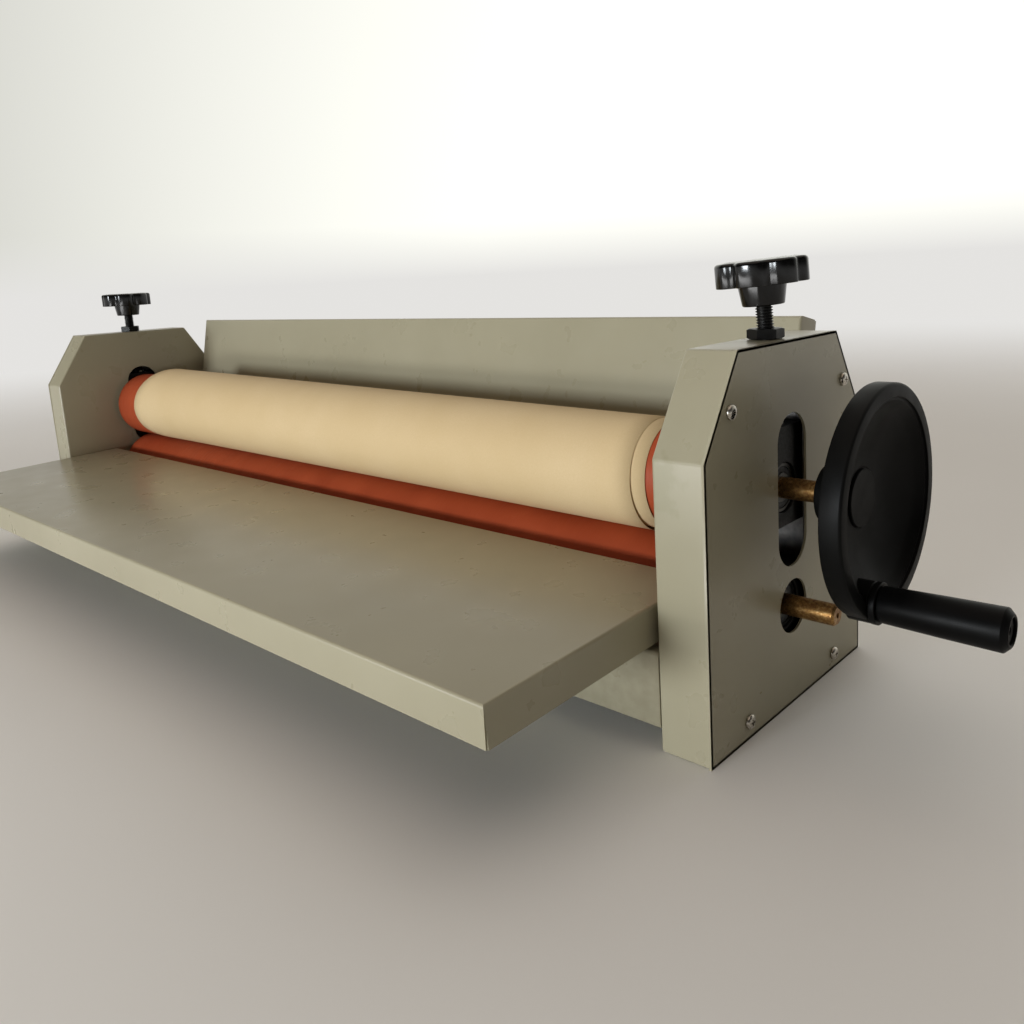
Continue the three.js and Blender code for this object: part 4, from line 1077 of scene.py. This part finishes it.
FLOOR_FADE = (0.7, 3.0)                         # from the painted floor to the horizon's colour
CAMERA_PLACE = (0.58483, -0.37797, 0.24982)
CAMERA_TURN = (80.06408, 3.01607, 41.12882)     # degrees
CAMERA_LENS = 30.827
CAMERA_SHIFT = (-0.05355, -0.08577)


def build_floor():
    """A pale floor that turns to the horizon's own colour far out, so that its end does not show."""
    bm = bmesh.new()
    bmesh.ops.create_grid(bm, x_segments=1, y_segments=1, size=FLOOR_HALF)
    floor = solid(bm, "studio_floor")
    material, shader, place = new_material("pale_studio_floor", Roughness=0.9, Specular_IOR_Level=0.1)
    tree = material.node_tree
    tone = ramp(noise(place, 0.5, 3), (0.3, "#ececeb"), (0.7, "#f0f0ef"))
    tree.links.new(tone, shader.inputs["Base Color"])
    reach = add_node(tree, "ShaderNodeVectorMath", {0: place}, operation="LENGTH").outputs["Value"]
    far = spread(reach, 0.0, 1.0, *FLOOR_FADE, interpolation_type="SMOOTHSTEP")
    glow = add_node(tree, "ShaderNodeEmission", {"Color": (*WORLD_HORIZON, 1)}).outputs[0]
    both = add_node(tree, "ShaderNodeMixShader", {0: far, 1: shader.outputs[0], 2: glow}).outputs[0]
    tree.links.new(both, tree.nodes["Material Output"].inputs["Surface"])
    floor.data.materials.append(material)


def hang_lamp(name, kind, toward, place=(0, 0, 0)):
    """A lamp at place that shines from the direction toward."""
    lamp = bpy.data.lights.new(name, kind)
    made = bpy.data.objects.new(name, lamp)
    made.location = place
    made.rotation_euler = Vector(toward).to_track_quat("Z", "Y").to_euler()
    SCENE.collection.objects.link(made)
    return made


def build_lamps():
    """A low key from the front, a warm ceiling, and a strip box that lifts what is nearest to the front."""
    for name, toward, spread_angle, strength in (
            ("low_key", KEY_TOWARD, KEY_SPREAD, KEY_STRENGTH),
            ("ceiling", OVERHEAD_TOWARD, OVERHEAD_SPREAD, OVERHEAD_STRENGTH)):
        lamp = hang_lamp(name, "SUN", toward).data
        lamp.angle = math.radians(spread_angle)
        lamp.energy = max(strength)
        lamp.color = [value / max(strength) for value in strength]
    aim = Vector(STRIP_PLACE) - Vector(STRIP_AIM)
    strip = hang_lamp("strip_box", "AREA", aim, STRIP_PLACE)
    strip.visible_camera = False
    strip.data.shape = "RECTANGLE"
    strip.data.size, strip.data.size_y = STRIP_SIZE
    strip.data.energy = STRIP_POWER


def build_world():
    """Soft surroundings: a pale band at the horizon, a dim dome, and a bright side at the back."""
    world = bpy.data.worlds.new("studio")
    world.use_nodes = True
    SCENE.world = world
    tree = world.node_tree
    direction = add_node(tree, "ShaderNodeTexCoord").outputs["Generated"]
    up = add_node(tree, "ShaderNodeSeparateXYZ", {0: direction}).outputs["Z"]
    above = spread(up, 0.0, 1.0, 0.0, 0.06)
    behind = add_node(tree, "ShaderNodeVectorMath", {0: direction, 1: WORLD_BRIGHT_SIDE},
                      operation="DOT_PRODUCT").outputs["Value"]
    dome = mix(spread(behind, 0.0, 1.0, 0.1, 0.9), (*WORLD_DOME, 1), (*WORLD_BACK, 1))
    colour = mix(above, (*WORLD_HORIZON, 1), dome)
    tree.links.new(colour, tree.nodes["Background"].inputs["Color"])


def build_camera():
    """The viewing angle: to the right of the front, a little above the knobs' tops."""
    camera = bpy.data.objects.new("camera", bpy.data.cameras.new("camera"))
    camera.location = CAMERA_PLACE
    camera.rotation_euler = [math.radians(a) for a in CAMERA_TURN]
    camera.data.lens = CAMERA_LENS
    camera.data.sensor_width = 36
    camera.data.shift_x, camera.data.shift_y = CAMERA_SHIFT
    camera.data.clip_start = 0.01
    SCENE.collection.objects.link(camera)
    SCENE.camera = camera


build_floor()
build_world()
build_lamps()
build_camera()
SCENE.view_settings.view_transform = "Standard"
